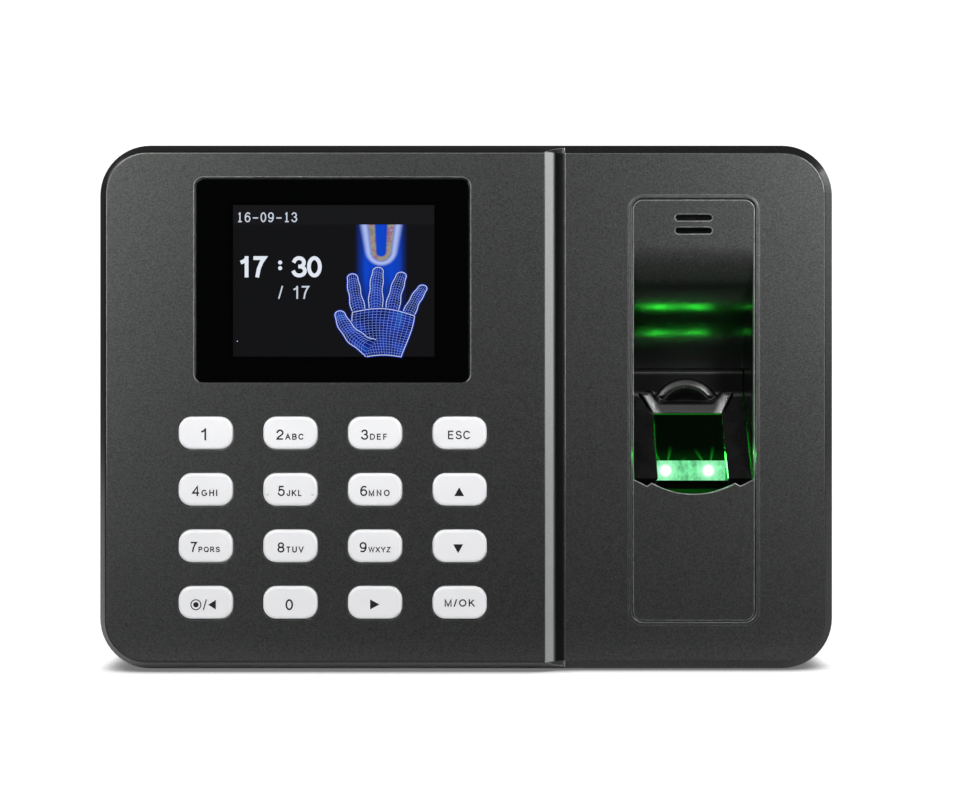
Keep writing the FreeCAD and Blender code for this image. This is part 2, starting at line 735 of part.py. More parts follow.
def make_keypad_membrane():
    """Sheet with a hollow, stepped dome behind each key."""
    membrane = body("keypad_membrane")
    pad(membrane, rounded(membrane, "sheet", membrane_back, pad_width, pad_height, 2.0,
                          pad_centre_x, pad_centre_z), membrane_front - membrane_back)
    pocket(membrane, circles(membrane, "post_holes", membrane_front, keypad_spots, 2.1), 0.8)

    def disc(name, out, radius):
        return circles(membrane, name, out, [(0, 0)], radius, key_first_x, key_first_z)

    dome_height = 1.1
    sketch = disc("dome", membrane_front, 4.0)
    dome = pad(membrane, sketch, dome_height)
    dome_top = pad(membrane, disc("dome_top", membrane_front + dome_height, 2.4), 0.85)
    hollow = pocket(membrane, disc("dome_hollow", membrane_back, 3.4), 1.3, along=True)
    repeat_for_keys(membrane, "domes", [dome, dome_top, hollow], sketch)


def make_keypad():
    for j, row in enumerate(KEYS):
        for i, name in enumerate(row):
            make_key(name, key_first_x + i * key_pitch_x, key_first_z - j * key_pitch_z)
    make_keypad_membrane()
    drilled_board("keypad_pcb", keypad_board_back, thick=1.6, width=80.0, height=54.0,
                  radius=1.5, x=pad_centre_x, z=pad_centre_z, spots=keypad_spots,
                  hole_radius=small_clear)
    make_ribbon("keypad_ribbon", -60.0, 12.0,
                [(-28.05, -20.3), (-26.7, -20.3), (-26.7, -10.0), (-15.2, -10.0),
                 (-15.2, -9.7), (-27.0, -9.7), (-27.0, -20.0), (-28.05, -20.0)])


# ================================================================ sensor bezel
def hood_corners():
    """Section, (Y, Z, arc radius): rolls back from the upper plate, then turns down
    into a cove. Both arcs of a skin meet on one line at the join angle."""
    centre_y = -13.3
    overlap = 1.0  # the hood's top edge runs up into the plate
    join = math.radians(59)
    inner_radius = hood_radius - hood_wall
    join_y = centre_y - hood_radius * math.cos(join)
    join_z = mouth_top - hood_radius * math.sin(join)
    inner_y = centre_y - inner_radius * math.cos(join)
    inner_z = mouth_top - inner_radius * math.sin(join)
    cove_y = join_y - cove_radius * math.cos(join)
    cove_z = join_z - cove_radius * math.sin(join)
    return [(centre_y - hood_radius, mouth_top + overlap),
            (centre_y - hood_radius, mouth_top, hood_radius),
            (join_y, join_z, -cove_radius),
            (cove_y + cove_radius, cove_z),
            (cove_y + cove_radius + hood_wall, cove_z, cove_radius + hood_wall),
            (inner_y, inner_z, -inner_radius),
            (centre_y - inner_radius, mouth_top),
            (centre_y - inner_radius, mouth_top + overlap)]


def make_sensor_bezel():
    bezel = body("sensor_bezel")
    flange_front = bezel_back + bezel_flange
    pad(bezel, rounded(bezel, "flange", bezel_back, 39.6, 108.0, 4.0, sensor_x, sensor_mid_z),
        bezel_flange)
    pad(bezel, rounded(bezel, "face", flange_front, sensor_open_w - 2 * bezel_gap,
                       sensor_open_h - 2 * bezel_gap, sensor_open_r - bezel_gap,
                       sensor_x, sensor_mid_z), plate_face - flange_front)
    # the mouth: straight sides, scalloped lower edge
    mouth = [(-14.3, mouth_top)] + SCALLOP + [(14.3, mouth_top)]
    pocket(bezel, front_profile(bezel, "mouth", sensor_cut_start, mouth, sensor_x), 5.0)
    # side walls thicken slightly towards the back
    for side, sign in SIDES:
        wall = [(sign * 14.3, -31.0), (sign * 14.25, -29.65), (sign * well_back, -13.2),
                (sign * 15.9, -13.2), (sign * 15.9, -31.0)]
        pad(bezel, top_profile(bezel, side + "_wall", -24.0, wall, sensor_x), 60.0)
    pad(bezel, side_profile(bezel, "hood", sensor_x, hood_corners()), 28.9, mid=True)
    # the walls' ears above the hood are trimmed away
    ears = [(-29.6, 45.0), (-29.6, 31.0), (-22.0, 24.6), (-14.4, 12.0), (-12.0, 12.0),
            (-12.0, 45.0)]
    pocket(bezel, side_profile(bezel, "trim", sensor_x, ears), 40.0, mid=True)
    # sound slots
    for name, z in (("slot", 45.1), ("slot_low", 42.0)):
        pocket(bezel, rounded(bezel, name, sensor_cut_start, slot_length, slot_height,
                              slot_height * 0.48, sensor_x, z), 5.0)
    pocket(bezel, circles(bezel, "holes", flange_front, bezel_spots, small_clear), bezel_flange)
    pocket(bezel, circles(bezel, "pilots", bezel_back, sensor_spots, small_pilot), 2.8,
           along=True)


# ================================================================ sensor module
def make_sensor_housing():
    housing = body("sensor_housing")
    # sections below are (Y, Z)
    outline = [(-16.6, 9.2), (-18.7, 2.9), (-32.4, -17.0), (-29.45, -19.9), (-29.45, -31.5),
               (-27.3, -31.5), (-27.3, -27.0), (-9.0, -27.0), (-9.0, 9.2)]
    pad(housing, side_profile(housing, "block", sensor_x, outline), 28.0, mid=True)
    # follows the scallop of the plate in front
    raised = [(x, z + housing_drop, *arc) for x, z, *arc in SCALLOP]
    scallop = [(-15.0, -16.9)] + raised + [(15.0, -16.9), (15.0, -24.0), (-15.0, -24.0)]
    pocket(housing, front_profile(housing, "scallop", sensor_cut_start, scallop, sensor_x), 4.55)
    # channel for the finger over the prism, with the prism's seat
    channel = [(-40.0, -22.0), (-31.5, -21.2), (-28.2, -17.85), (-20.3, -17.85),
               (-15.7, -5.9), (-21.3, -1.5), (-20.1, 1.2), (-40.0, 1.2)]
    pocket(housing, side_profile(housing, "channel", sensor_x, channel), 16.9, mid=True)
    # arched pocket for the fingertip: X, Z, arc radius
    arch = [(-7.5, 1.2), (7.5, 1.2, 7.9)]
    pocket(housing, front_profile(housing, "fingertip", sensor_cut_start, arch, sensor_x), 19.0)
    # optics chamber, open at the back
    chamber = [(-20.4, -17.85), (-15.8, -5.9), (-15.8, 0.0), (-8.0, 0.0), (-8.0, -24.4),
               (-20.4, -24.4)]
    pocket(housing, side_profile(housing, "chamber", sensor_x, chamber), 17.6, mid=True)
    pocket(housing, circles(housing, "holes", 29.45, sensor_spots, small_clear), 2.15)
    pocket(housing, circles(housing, "pilots", 9.0, camera_spots, small_pilot), 4.0, along=True)


def make_sensor_optics():
    prism = body("sensor_prism")
    section = [(-28.4, -12.95), (-28.4, -17.66), (-20.5, -17.66), (-16.0, -6.0), (-21.6, -1.64)]
    pad(prism, side_profile(prism, "section", sensor_x, section), prism_width, mid=True,
        name="block")
    keep(block("sensor_led_board", sensor_x - 8.0, sensor_x + 8.0, -17.6, -16.6, -24.0, -12.5))
    # each LED's X range from the sensor's middle
    group("sensor_leds", [block("sensor_led_" + side, sensor_x + x0, sensor_x + x1,
                                -18.9, -17.65, -16.4, -14.4)
                          for side, x0, x1 in (("left", -7.3, -5.1), ("right", 3.0, 5.2))])
    barrel = rod("sensor_lens_barrel", sensor_x, -15.2, -5.0, radius=3.6, length=5.4)
    dish = rod("sensor_lens_dish", sensor_x, -15.6, -5.0, radius=2.2, length=1.2)
    keep(cut("sensor_lens", barrel, dish))
    plate = block("sensor_camera_plate", sensor_x - 13.4, sensor_x + 13.4, -8.9, -7.9,
                  -25.0, 7.0)
    holes = fuse("sensor_camera_holes",
                 [rod("sensor_camera_hole_%d" % n, x, -9.5, z, small_clear, 2.4)
                  for n, (x, z) in enumerate(camera_spots)])
    keep(cut("sensor_camera_board", plate, holes))


def make_speaker():
    z = 47.5
    magnet = rod("speaker_magnet", sensor_x, -25.2, z, radius=6.0, length=3.2)
    basket = rod("speaker_basket", sensor_x, -29.6, z, radius=10.0, length=4.5)
    hollow = doc.addObject("Part::Cone", "speaker_cone_hollow")
    hollow.Radius1 = 8.6
    hollow.Radius2 = 4.0
    hollow.Height = 2.0
    place(hollow, sensor_x, -29.61, z, Rotation(Vector(1, 0, 0), -90))
    keep(cut("speaker", fuse("speaker_blank", [magnet, basket]), hollow))


# ================================================================ main board
# label, X from, X to, height off the board, Z from, Z to
CHIPS = [("processor", -38, -22, 2.2, -8, 8), ("memory", -12, -2, 1.2, -4, 8),
         ("flash", -12, -4, 1.2, -16, -10), ("audio_chip", 4, 9, 1.1, -8, -3),
         ("regulator", -66, -59, 2.4, -32, -26), ("display_socket", -40, -22, 1.4, 10.2, 14.5),
         ("keypad_socket", -67, -53, 1.4, -11.6, -7.6), ("sensor_socket", 8, 15.5, 3.0, -24, -14),
         ("speaker_socket", 8, 15, 3.0, 16, 22), ("inductor", -56, -50, 3.0, -34, -28),
         ("network_transformer", -40, -26, 4.5, -34, -24)]
CAPACITORS = [(-62, -20), (-54, -20), (-46, -38), (0, -24)]  # X, Z


def make_pcb_components():
    cap_height = 5.5
    parts = [mounted("chip_" + label, x0, x1, z0, z1, height)
             for label, x0, x1, height, z0, z1 in CHIPS]
    parts += [rod("chip_capacitor_%d" % n, x, board_face - cap_height, z, 2.5, cap_height)
              for n, (x, z) in enumerate(CAPACITORS)]
    group("pcb_components", parts)


def make_wifi():
    keep(fuse("wifi_module", [
        mounted("wifi_module_card", -64.0, -48.0, 14.0, 36.0, front=0.8),
        mounted("wifi_module_can", -63.0, -49.0, 15.0, 28.0, front=2.6, back=0.7)]))
    keep(block("wifi_antenna", -60.0, -22.0, -21.0, -13.0, 59.1, 59.9))
    keep(lead("antenna_lead", [(-56, board_face - 1.5, 37.0), (-55, -17.0, 43.0),
                               (-48, -18.5, 52.0), (-42, -18.0, 58.4)], 0.6))


def make_coin_cell():
    x = -4.0
    z = 24.0
    keep(rod("coin_cell", x, board_face - 4.4, z, radius=10.0, length=3.2))
    ring = rod("coin_holder_ring", x, board_face - 4.6, z, radius=11.4, length=4.6)
    bore = rod("coin_holder_bore", x, board_face - 4.8, z, radius=10.1, length=3.8)
    gap = mounted("coin_holder_gap", x - 4.0, x + 4.0, 30.0, 40.0, front=5.0, back=1.05)
    keep(cut("coin_cell_holder", ring, fuse("coin_holder_tools", [bore, gap])))


def make_sockets():
    """Sockets that open downwards through the case's lower wall."""
    below = -62.6  # cuts start just under the sockets
    x = SOCKETS["power"][0]
    shell = socket_body("power_jack_body", "power", -47.6)
    bore = rod("power_jack_bore", x, board_face - 6.0, below, 2.8, 10.0, "Z")
    pin = rod("power_jack_pin", x, board_face - 6.0, -61.0, 0.95, 10.0, "Z")
    keep(fuse("power_jack", [cut("power_jack_shell", shell, bore), pin]))

    shell = socket_body("ethernet_body", "ethernet", -40.6)
    mouth = mounted("ethernet_mouth", -35.9, -24.1, below, -49.0, front=9.6, back=2.4)
    notch = mounted("ethernet_key", -33.0, -27.0, below, -52.0, front=12.2, back=9.0)
    keep(cut("ethernet_port", shell, fuse("ethernet_opening", [mouth, notch])))

    shell = socket_body("usb_body", "usb", -47.6)
    mouth = mounted("usb_mouth", -11.1, 1.1, below, -49.0, front=6.3, back=0.5)
    tongue = mounted("usb_tongue", -10.6, 0.6, -60.6, -48.8, front=4.0, back=2.1)
    keep(fuse("usb_port", [cut("usb_shell", shell, mouth), tongue]))


def make_cables():
    keep(lead("sensor_cable", [(39.0, -8.4, -4.0), (34.0, -10.0, -6.0), (27.0, -15.0, -12.0),
                               (21.0, -16.5, -17.0), (16.2, -15.4, -19.0)], 1.1))
    red = [(46.4, -24.2, 47.5), (40.0, -21.0, 44.0), (28.0, -18.0, 34.0),
           (21.0, -16.5, 24.0), (15.6, -15.6, 20.4)]
    black = [(46.6, -24.2, 44.6), (40.0, -20.0, 41.0), (28.0, -17.0, 30.5),
             (21.0, -15.8, 21.5), (15.6, -15.4, 18.0)]
    group("speaker_wires", [lead("speaker_wire_red", red, 0.6),
                            lead("speaker_wire_black", black, 0.6)])


def make_electronics():
    drilled_board("main_pcb", pcb_back, thick=pcb_front - pcb_back, width=90.0, height=95.0,
                  radius=2.0, x=-27.0, z=-9.5, spots=pcb_spots, hole_radius=1.3)
    make_pcb_components()
    make_wifi()
    make_coin_cell()
    make_sockets()
    make_cables()


# ================================================================ rear shell
# cups over the wall screws' heads sit lower than the screws
cup_drop = 3.5
cup_spots = [(i * wall_hole_x, j * wall_hole_z - cup_drop) for i in (-1, 1) for j in (-1, 1)]


def add_rear_posts(rear):
    """Posts, cups and lock boss standing on the shell's inside."""
    foot = 3.0  # depth at which they start, inside the shell's back
    pad(rear, circles(rear, "posts", foot, case_spots, post_radius), boss_end - seam_gap - foot)
    pad(rear, circles(rear, "board_posts", foot, pcb_spots, 3.0), pcb_back - foot)
    for n, (x, z) in enumerate(cup_spots):
        pad(rear, rounded(rear, "cup_%d" % n, foot, 13.0, 20.0, 3.0, x, z), 3.6)
    pad(rear, lock_circle(rear, "lock_boss", -case_height / 2 + 1.0, 4.2), 5.5)


def cut_rear_back(rear):
    """Cuts made from the wall side: bracket recess, cups and slots."""
    def cut_in(name, depth, *shape):
        pocket(rear, rounded(rear, name, 0.0, *shape), depth, along=True)

    # name, depth, width, height, corner radius, X, Z
    cut_in("recess", 1.5, 106.0, 96.0, 3.0, 0, -7.0)
    for n, (x, z) in enumerate(cup_spots):
        cut_in("cup_hollow_%d" % n, 5.4, 10.0, 17.0, 2.0, x, z)
    for side, sign in SIDES:
        cut_in("hook_slot_" + side, 4.5, 10.8, 8.9, 0.8, sign * hook_x, 17.05)
    cut_in("lock_slot", 4.5, 16.0, 9.3, 0.8, 0, -49.95)


def drill_rear(rear):
    """Screw holes, and openings under the sockets."""
    below = -case_height / 2 - 1
    pocket(rear, circles(rear, "case_holes", 0.0, case_spots, 1.6), 24.0, along=True)
    pocket(rear, circles(rear, "case_head_wells", 0.0, case_spots, 3.0), case_seat, along=True)
    pocket(rear, circles(rear, "board_pilots", pcb_back, pcb_spots, 1.0), 7.0)
    pocket(rear, lock_circle(rear, "lock_hole", below, 1.6), 9.0, along=True)
    pocket(rear, lock_circle(rear, "lock_head_well", below, 2.9), 3.0, along=True)
    for label, (x, width, height) in SOCKETS.items():
        sketch = sketch_on(rear, label + "_opening", "XY_Plane", x, board_face - height / 2,
                           below)
        add_rounded(sketch, width + socket_play, height + socket_play, 0.6)
        pocket(rear, sketch, 4.0, along=True)


def make_rear_housing():
    rear = body("rear_housing")
    floor = 3.7  # inside of the back
    pad(rear, rounded(rear, "shell", back_face, case_width - 2 * rear_inset,
                      case_height - 2 * rear_inset, case_radius - rear_inset),
        seam_depth - back_face - seam_gap)
    round_edges(rear, "wall_edge", at_depth(back_face), rear_edge_round)
    pocket(rear, rounded(rear, "hollow", seam_depth, case_width - 2 * case_wall,
                         case_height - 2 * case_wall, case_radius - case_wall),
           seam_depth - floor)
    add_rear_posts(rear)
    cut_rear_back(rear)
    drill_rear(rear)


# ================================================================ fasteners
SMALL_SCREW = dict(head_radius=1.9, head_height=1.2, shank_radius=0.78)
CASE_SCREW = dict(head_radius=2.75, head_height=2.0, shank_radius=1.17)


def cross_recessed(name, bar, head, stem, x, z, y0, y1, reach, half_width):
    """Head and stem in one, with a cross cut into the head between y0 and y1."""
    bars = [block("%s_%s_a" % (name, bar), x - reach, x + reach, y0, y1,
                  z - half_width, z + half_width),
            block("%s_%s_b" % (name, bar), x - half_width, x + half_width, y0, y1,
                  z - reach, z + reach)]
    return cut(name, fuse(name + "_blank", [head, stem]), fuse(name + "_recess", bars))


def screws(name, spots, seat, shank, head_radius, head_height, shank_radius):
    """Pan-head screws along Y: the head sits behind the seat, the shank runs to the front."""
    result = []
    for n, (x, z) in enumerate(spots):
        label = "%s_%d" % (name, n)
        head = rod(label + "_head", x, -seat, z, head_radius, head_height)
        stem = rod(label + "_stem", x, -seat - shank, z, shank_radius, shank + 0.2)
        head_end = -seat + head_height
        result.append(cross_recessed(label, "cross", head, stem, x, z,
                                     y0=head_end - 0.6, y1=head_end + 0.2,
                                     reach=head_radius * 0.55, half_width=0.25))
    return result


def main_board_screws():
    """Screws driven from the front: heads before the board, stems running to the wall."""
    result = []
    for n, (x, z) in enumerate(pcb_spots):
        label = "main_pcb_screw_%d" % n
        head = rod(label + "_head", x, -15.1, z, radius=2.4, length=1.45)
        stem = rod(label + "_stem", x, -14.0, z, radius=0.97, length=8.6)
        result.append(cross_recessed(label, "slot", head, stem, x, z, y0=-15.3, y1=-14.5,
                                     reach=1.3, half_width=0.3))
    return result


def make_screws():
    # centres, depth of the seat, shank length
    group("case_screws", screws("case_screw", case_spots, case_seat, 18.9, **CASE_SCREW))
    group("keypad_screws",
          screws("keypad_screw", keypad_spots, keypad_board_back, 4.3, **SMALL_SCREW))
    group("lcd_screws", screws("lcd_screw", lcd_spots, lcd_bracket_back, 3.7, **SMALL_SCREW))
    group("bezel_screws", screws("bezel_screw", bezel_spots, bezel_back, 2.9, **SMALL_SCREW))
    group("sensor_screws", screws("sensor_screw", sensor_spots, 27.3, 4.8, **SMALL_SCREW)
          + screws("camera_screw", camera_spots, 7.9, 4.6, **SMALL_SCREW))
    group("main_pcb_screws", main_board_screws())


# ================================================================ wall bracket
def make_wall_bracket():
    """Plate with two hooks and a tab for the lock screw."""
    bracket = body("wall_bracket")
    cut_start = 2.0
    cut_depth = 3.0
    plate = sketch_on(bracket, "plate", "XZ_Plane", 0, (bracket_top + bracket_bottom) / 2)
    add_rounded(plate, 2 * bracket_half_w, bracket_top - bracket_bottom, 4.0, "outer_")
    pad(bracket, plate, bracket_thick)
    # sections, (Y, Z)
    hook = [(-1.0, 20.0), (-5.2, 20.0), (-5.2, 26.0), (-4.0, 26.0), (-4.0, 21.2), (-1.0, 21.2)]
    for side, sign in SIDES:
        pad(bracket, side_profile(bracket, "hook_" + side, sign * hook_x, hook), 10.0, mid=True)
    tab = [(-1.0, -47.0), (-11.0, -47.0), (-11.0, -45.8), (-1.0, -45.8)]
    pad(bracket, side_profile(bracket, "lock_tab", 0.0, tab), 14.0, mid=True)
    wall_spots = [(i * wall_hole_x, j * wall_hole_z) for i in (-1, 1) for j in (-1, 1)]
    pocket(bracket, circles(bracket, "wall_holes", cut_start, wall_spots, wall_hole_r),
           cut_depth)
    pocket(bracket, rounded(bracket, "cable_window", cut_start, 46.0, 30.0, 6.0, z=-6.0),
           cut_depth)
    pocket(bracket, lock_circle(bracket, "lock_thread", -45.0, 1.34), 3.0)


def make_lock_screw():
    """Upright screw through the case's lower wall into the bracket's tab."""
    head = rod("lock_screw_head", 0, lock_y, -62.4, 2.5, 1.8, "Z")
    stem = rod("lock_screw_stem", 0, lock_y, -61.0, 1.28, 17.0, "Z")
    hexagon = doc.addObject("Part::Prism", "lock_screw_hex")
    hexagon.Polygon = 6
    hexagon.Circumradius = 1.2
    hexagon.Height = 1.2
    place(hexagon, 0, lock_y, -62.6)
    keep(cut("bracket_lock_screw", fuse("lock_screw_blank", [head, stem]), hexagon))


# ================================================================ output
def find_faults():
    faults = [o.Name + ": " + ", ".join(o.State) for o in doc.Objects
              if "Invalid" in o.State or "Error" in o.State]
    for node in NODES:
        if node.Shape.isNull() or not node.Shape.isValid():
            faults.append(node.Label + ": bad shape")
        elif not node.Shape.Solids:
            faults.append(node.Label + ": no solid")
    if len({node.Label for node in NODES}) != len(NODES):
        faults.append("two sub-parts share a label")
    return faults


make_front_cover()
make_display()
make_keypad()
make_sensor_bezel()
make_sensor_housing()
make_sensor_optics()
make_speaker()
make_electronics()
make_rear_housing()
make_screws()
make_wall_bracket()
make_lock_screw()
doc.recompute()

problems = find_faults()
if problems:
    raise SystemExit("\n".join(problems))
os.makedirs("parts", exist_ok=True)
for node in NODES:
    node.Shape.exportStep("parts/%s.step" % node.Label)
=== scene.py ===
# A fingerprint terminal: display and keypad in the left panel, finger sensor in a well on the right.
# It stands upright and faces -Y, with X to the right and Z up. Blender works in metres; sizes
# here are in mm unless noted, and MM converts them. A smaller y lies nearer the user.
import math

import bmesh
import bpy
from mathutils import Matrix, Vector


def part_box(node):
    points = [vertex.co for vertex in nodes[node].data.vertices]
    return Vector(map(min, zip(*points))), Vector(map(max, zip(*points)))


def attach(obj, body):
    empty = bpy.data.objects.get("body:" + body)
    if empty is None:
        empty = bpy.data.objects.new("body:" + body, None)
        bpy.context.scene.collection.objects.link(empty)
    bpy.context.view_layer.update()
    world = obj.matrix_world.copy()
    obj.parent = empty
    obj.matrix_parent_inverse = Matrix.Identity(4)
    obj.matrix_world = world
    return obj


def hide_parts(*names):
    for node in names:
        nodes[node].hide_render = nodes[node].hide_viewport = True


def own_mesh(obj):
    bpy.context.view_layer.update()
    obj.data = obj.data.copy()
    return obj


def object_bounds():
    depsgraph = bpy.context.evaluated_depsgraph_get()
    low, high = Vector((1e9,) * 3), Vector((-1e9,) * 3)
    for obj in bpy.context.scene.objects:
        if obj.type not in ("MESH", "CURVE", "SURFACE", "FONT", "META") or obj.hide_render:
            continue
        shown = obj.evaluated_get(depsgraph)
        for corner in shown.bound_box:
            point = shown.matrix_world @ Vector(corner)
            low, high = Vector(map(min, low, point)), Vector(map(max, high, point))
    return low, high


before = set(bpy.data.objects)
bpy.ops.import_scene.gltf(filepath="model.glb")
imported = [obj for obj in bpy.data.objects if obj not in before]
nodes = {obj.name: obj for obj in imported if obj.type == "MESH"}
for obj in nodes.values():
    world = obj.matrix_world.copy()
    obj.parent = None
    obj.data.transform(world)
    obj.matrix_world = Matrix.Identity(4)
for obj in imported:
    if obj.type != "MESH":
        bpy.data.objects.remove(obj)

scene = bpy.context.scene
cad_lo, cad_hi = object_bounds()
MM = 0.001

# ------------------------------------------------------------------ places taken from the CAD
glass_lo, glass_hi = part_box("lcd_glass")
prism_lo, prism_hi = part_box("sensor_prism")
SENSOR_X = (prism_lo.x + prism_hi.x) / 2 / MM
DISPLAY_X = (glass_lo.x + glass_hi.x) / 2 / MM
DISPLAY_Z = (glass_lo.z + glass_hi.z) / 2 / MM
SCREEN_Y = glass_lo.y / MM          # front face of the display glass

# Keys row by row from the top, each row from left to right
KEYS = ["key_1", "key_2", "key_3", "key_esc", "key_4", "key_5", "key_6", "key_up",
        "key_7", "key_8", "key_9", "key_down", "key_power_left", "key_0", "key_right",
        "key_menu_ok"]


# ------------------------------------------------------------------ wiring of shader nodes
def cell(size):
    """Texture scale whose features are about this size in mm."""
    return 1.0 / (size * MM)


class ShaderNet:
    """Node tree of a material or world; values are numbers, tuples or outputs of other nodes."""

    def __init__(self, owner):
        owner.use_nodes = True
        self.owner = owner
        self.tree = owner.node_tree
        self.tree.nodes.clear()

    def node(self, kind, inputs=None, **settings):
        made = self.tree.nodes.new("ShaderNode" + kind)
        for key, value in settings.items():
            setattr(made, key, value)
        for key, value in (inputs or {}).items():
            self.feed(made.inputs[key], value)
        return made

    def feed(self, socket, value):
        if isinstance(value, (int, float)):
            socket.default_value = value
        elif isinstance(value, tuple):
            is_colour = len(value) == 3 and socket.type == "RGBA"
            socket.default_value = (*value, 1) if is_colour else value
        else:
            self.tree.links.new(value, socket)

    def coord(self, space="Object"):
        return self.node("TexCoord").outputs[space]

    def split(self, vector):
        """The x, y and z of a vector, or the channels of a colour."""
        parts = self.node("SeparateXYZ", {0: vector}).outputs
        return parts[0], parts[1], parts[2]

    # arithmetic
    def calc(self, operation, *terms):
        return self.node("Math", dict(enumerate(terms)), operation=operation).outputs[0]

    def chain(self, operation, first, *rest):
        for term in rest:
            first = self.calc(operation, first, term)
        return first

    def mul(self, *terms):
        return self.chain("MULTIPLY", *terms)

    def add(self, *terms):
        return self.chain("ADD", *terms)

    def most(self, *terms):
        return self.chain("MAXIMUM", *terms)

    def invert(self, value):
        return self.calc("SUBTRACT", 1.0, value)

    def hypot(self, side_a, side_b):
        squares = [self.calc("POWER", side, 2.0) for side in (side_a, side_b)]
        return self.calc("SQRT", self.add(*squares))

    # tests and distances against places in mm
    def above(self, value, limit):
        return self.calc("GREATER_THAN", value, limit * MM)

    def below(self, value, limit):
        return self.calc("LESS_THAN", value, limit * MM)

    def offset(self, value, centre):
        return self.calc("SUBTRACT", value, centre * MM)

    def away(self, value, centre):
        return self.calc("ABSOLUTE", self.offset(value, centre))

    # ramps
    def remap(self, value, source, target, smooth=False):
        """Carry the source range over to the target range, clamped at both ends."""
        made = self.node("MapRange", {"Value": value, "From Min": source[0],
                                      "From Max": source[1], "To Min": target[0],
                                      "To Max": target[1]})
        if smooth:
            made.interpolation_type = "SMOOTHSTEP"
        return made.outputs[0]

    def rise(self, value, start, end, first=0.0, last=1.0):
        """Smooth change from first to last between two places in mm."""
        return self.remap(value, (start * MM, end * MM), (first, last), smooth=True)

    def fade(self, value, start, end):
        """Smooth change from 1 to 0 between two places in mm."""
        return self.rise(value, start, end, 1.0, 0.0)

    def between(self, factor, none, full):
        """none where the factor is 0, full where it is 1."""
        return self.remap(factor, (0.0, 1.0), (none, full))

    # textures
    def mapping(self, vector, scale=(1, 1, 1), rotation=(0, 0, 0)):
        return self.node("Mapping", {"Vector": vector, "Scale": scale,
                                     "Rotation": rotation}).outputs[0]

    def noise(self, vector, scale, detail=2.0, rough=0.5):
        return self.node("TexNoise", {"Vector": vector, "Scale": scale, "Detail": detail,
                                      "Roughness": rough}).outputs["Fac"]

    def mottle(self, vector, scale, low, high, detail=2.0, rough=0.5):
        """Noise spread between low and high."""
        return self.remap(self.noise(vector, scale, detail, rough), (0.3, 0.7), (low, high))

    def grain(self, vector, size, amount):
        """Fine speckle between 1 - amount and 1 + amount."""
        speckle = self.noise(vector, cell(size), detail=2.0, rough=0.7)
        return self.remap(speckle, (0.25, 0.75), (1 - amount, 1 + amount))

    def voronoi(self, vector, scale):
        return self.node("TexVoronoi", {"Vector": vector, "Scale": scale})

    # colours
    def ramp(self, factor, stops):
        made = self.node("ValToRGB", {0: factor})
        elements = made.color_ramp.elements
        while len(elements) < len(stops):
            elements.new(0.5)
        for element, (position, colour) in zip(elements, stops):
            element.position = position
            element.color = (*colour, 1)
        return made.outputs[0]

    def mix(self, factor, colour_a, colour_b, mode="MIX"):
        return self.node("Mix", {0: factor, 6: colour_a, 7: colour_b},
                         data_type="RGBA", blend_type=mode).outputs[2] if False else \
            self.mix_node(factor, colour_a, colour_b, mode)

    def mix_node(self, factor, colour_a, colour_b, mode):
        made = self.node("Mix", data_type="RGBA", blend_type=mode)
        for index, value in ((0, factor), (6, colour_a), (7, colour_b)):
            self.feed(made.inputs[index], value)
        return made.outputs[2]

    def tint(self, colour, value):
        """The colour multiplied by a value."""
        return self.mix(1.0, colour, value, "MULTIPLY")

    # surface
    def bevel(self, radius, samples=4):
        return self.node("Bevel", {"Radius": radius * MM}, samples=samples).outputs[0]

    def bump(self, height, strength, depth, normal=None):
        inputs = {"Height": height, "Strength": strength, "Distance": depth * MM}
        if normal is not None:
            inputs["Normal"] = normal
        return self.node("Bump", inputs).outputs[0]

    def principled(self, **inputs):
        named = {key.replace("_", " "): value for key, value in inputs.items()}
        return self.node("BsdfPrincipled", named).outputs[0]

    def emission(self, colour, strength):
        return self.node("Emission", {"Color": colour, "Strength": strength}).outputs[0]

    def mix_shader(self, factor, shader_a, shader_b):
        return self.node("MixShader", {0: factor, 1: shader_a, 2: shader_b}).outputs[0]

    def finish(self, shader, kind="OutputMaterial"):
        self.node(kind, {"Surface": shader})
        return self.owner

    def paint(self, **inputs):
        return self.finish(self.principled(**inputs))


def material_net(name):
    return ShaderNet(bpy.data.materials.new(name))


# ------------------------------------------------------------------ gunmetal paint
def painted_edge_highlight_and_wear(net, coord, x, z, geometry):
    """How far the edges are painted paler: a painted highlight on edges that stand proud, partly
    paint rubbed thin there.
    """
    facing = net.node("VectorMath", operation="DOT_PRODUCT",
                      inputs={0: net.bevel(0.42, samples=8),
                              1: geometry.outputs["Normal"]}).outputs["Value"]
    edge = net.remap(facing, (0.996, 0.955), (0.0, 1.0), smooth=True)
    openness = net.node("AmbientOcclusion", {"Distance": 0.35 * MM},
                        samples=6, only_local=True).outputs["AO"]
    edge = net.mul(edge, net.remap(openness, (0.72, 0.94), (0.0, 1.0), smooth=True))
    patches = net.remap(net.noise(coord, scale=900.0, detail=4.0), (0.38, 0.60), (0.55, 1.0))
    # round the key openings the painted edge highlight and wear are nearly left out
    keypad = net.mul(net.mul(net.below(x, 8), net.below(z, 6)),
                     net.mul(net.above(x, -76), net.above(z, -56)))
    return net.mul(net.mul(edge, patches), net.between(keypad, 1.0, 0.06))


def painted_slope_shade(net, x, z, normal_y, edge_highlight_and_wear):
    """The slopes round the left panel are painted darker than its face, as painted shade."""
    slope = net.remap(normal_y, (-0.96, -0.86), (0.0, 1.0), smooth=True)
    left_end = net.mul(slope, net.rise(x, -83.5, -82.5, first=0.65, last=0.0))
    rest = net.mul(slope, net.rise(x, 17.4, 18.0, first=0.35, last=0.0))
    border = net.most(net.above(net.calc("ABSOLUTE", z), 59.6), net.below(x, -82.5))
    return net.mul(net.most(left_end, rest), border, net.invert(edge_highlight_and_wear))


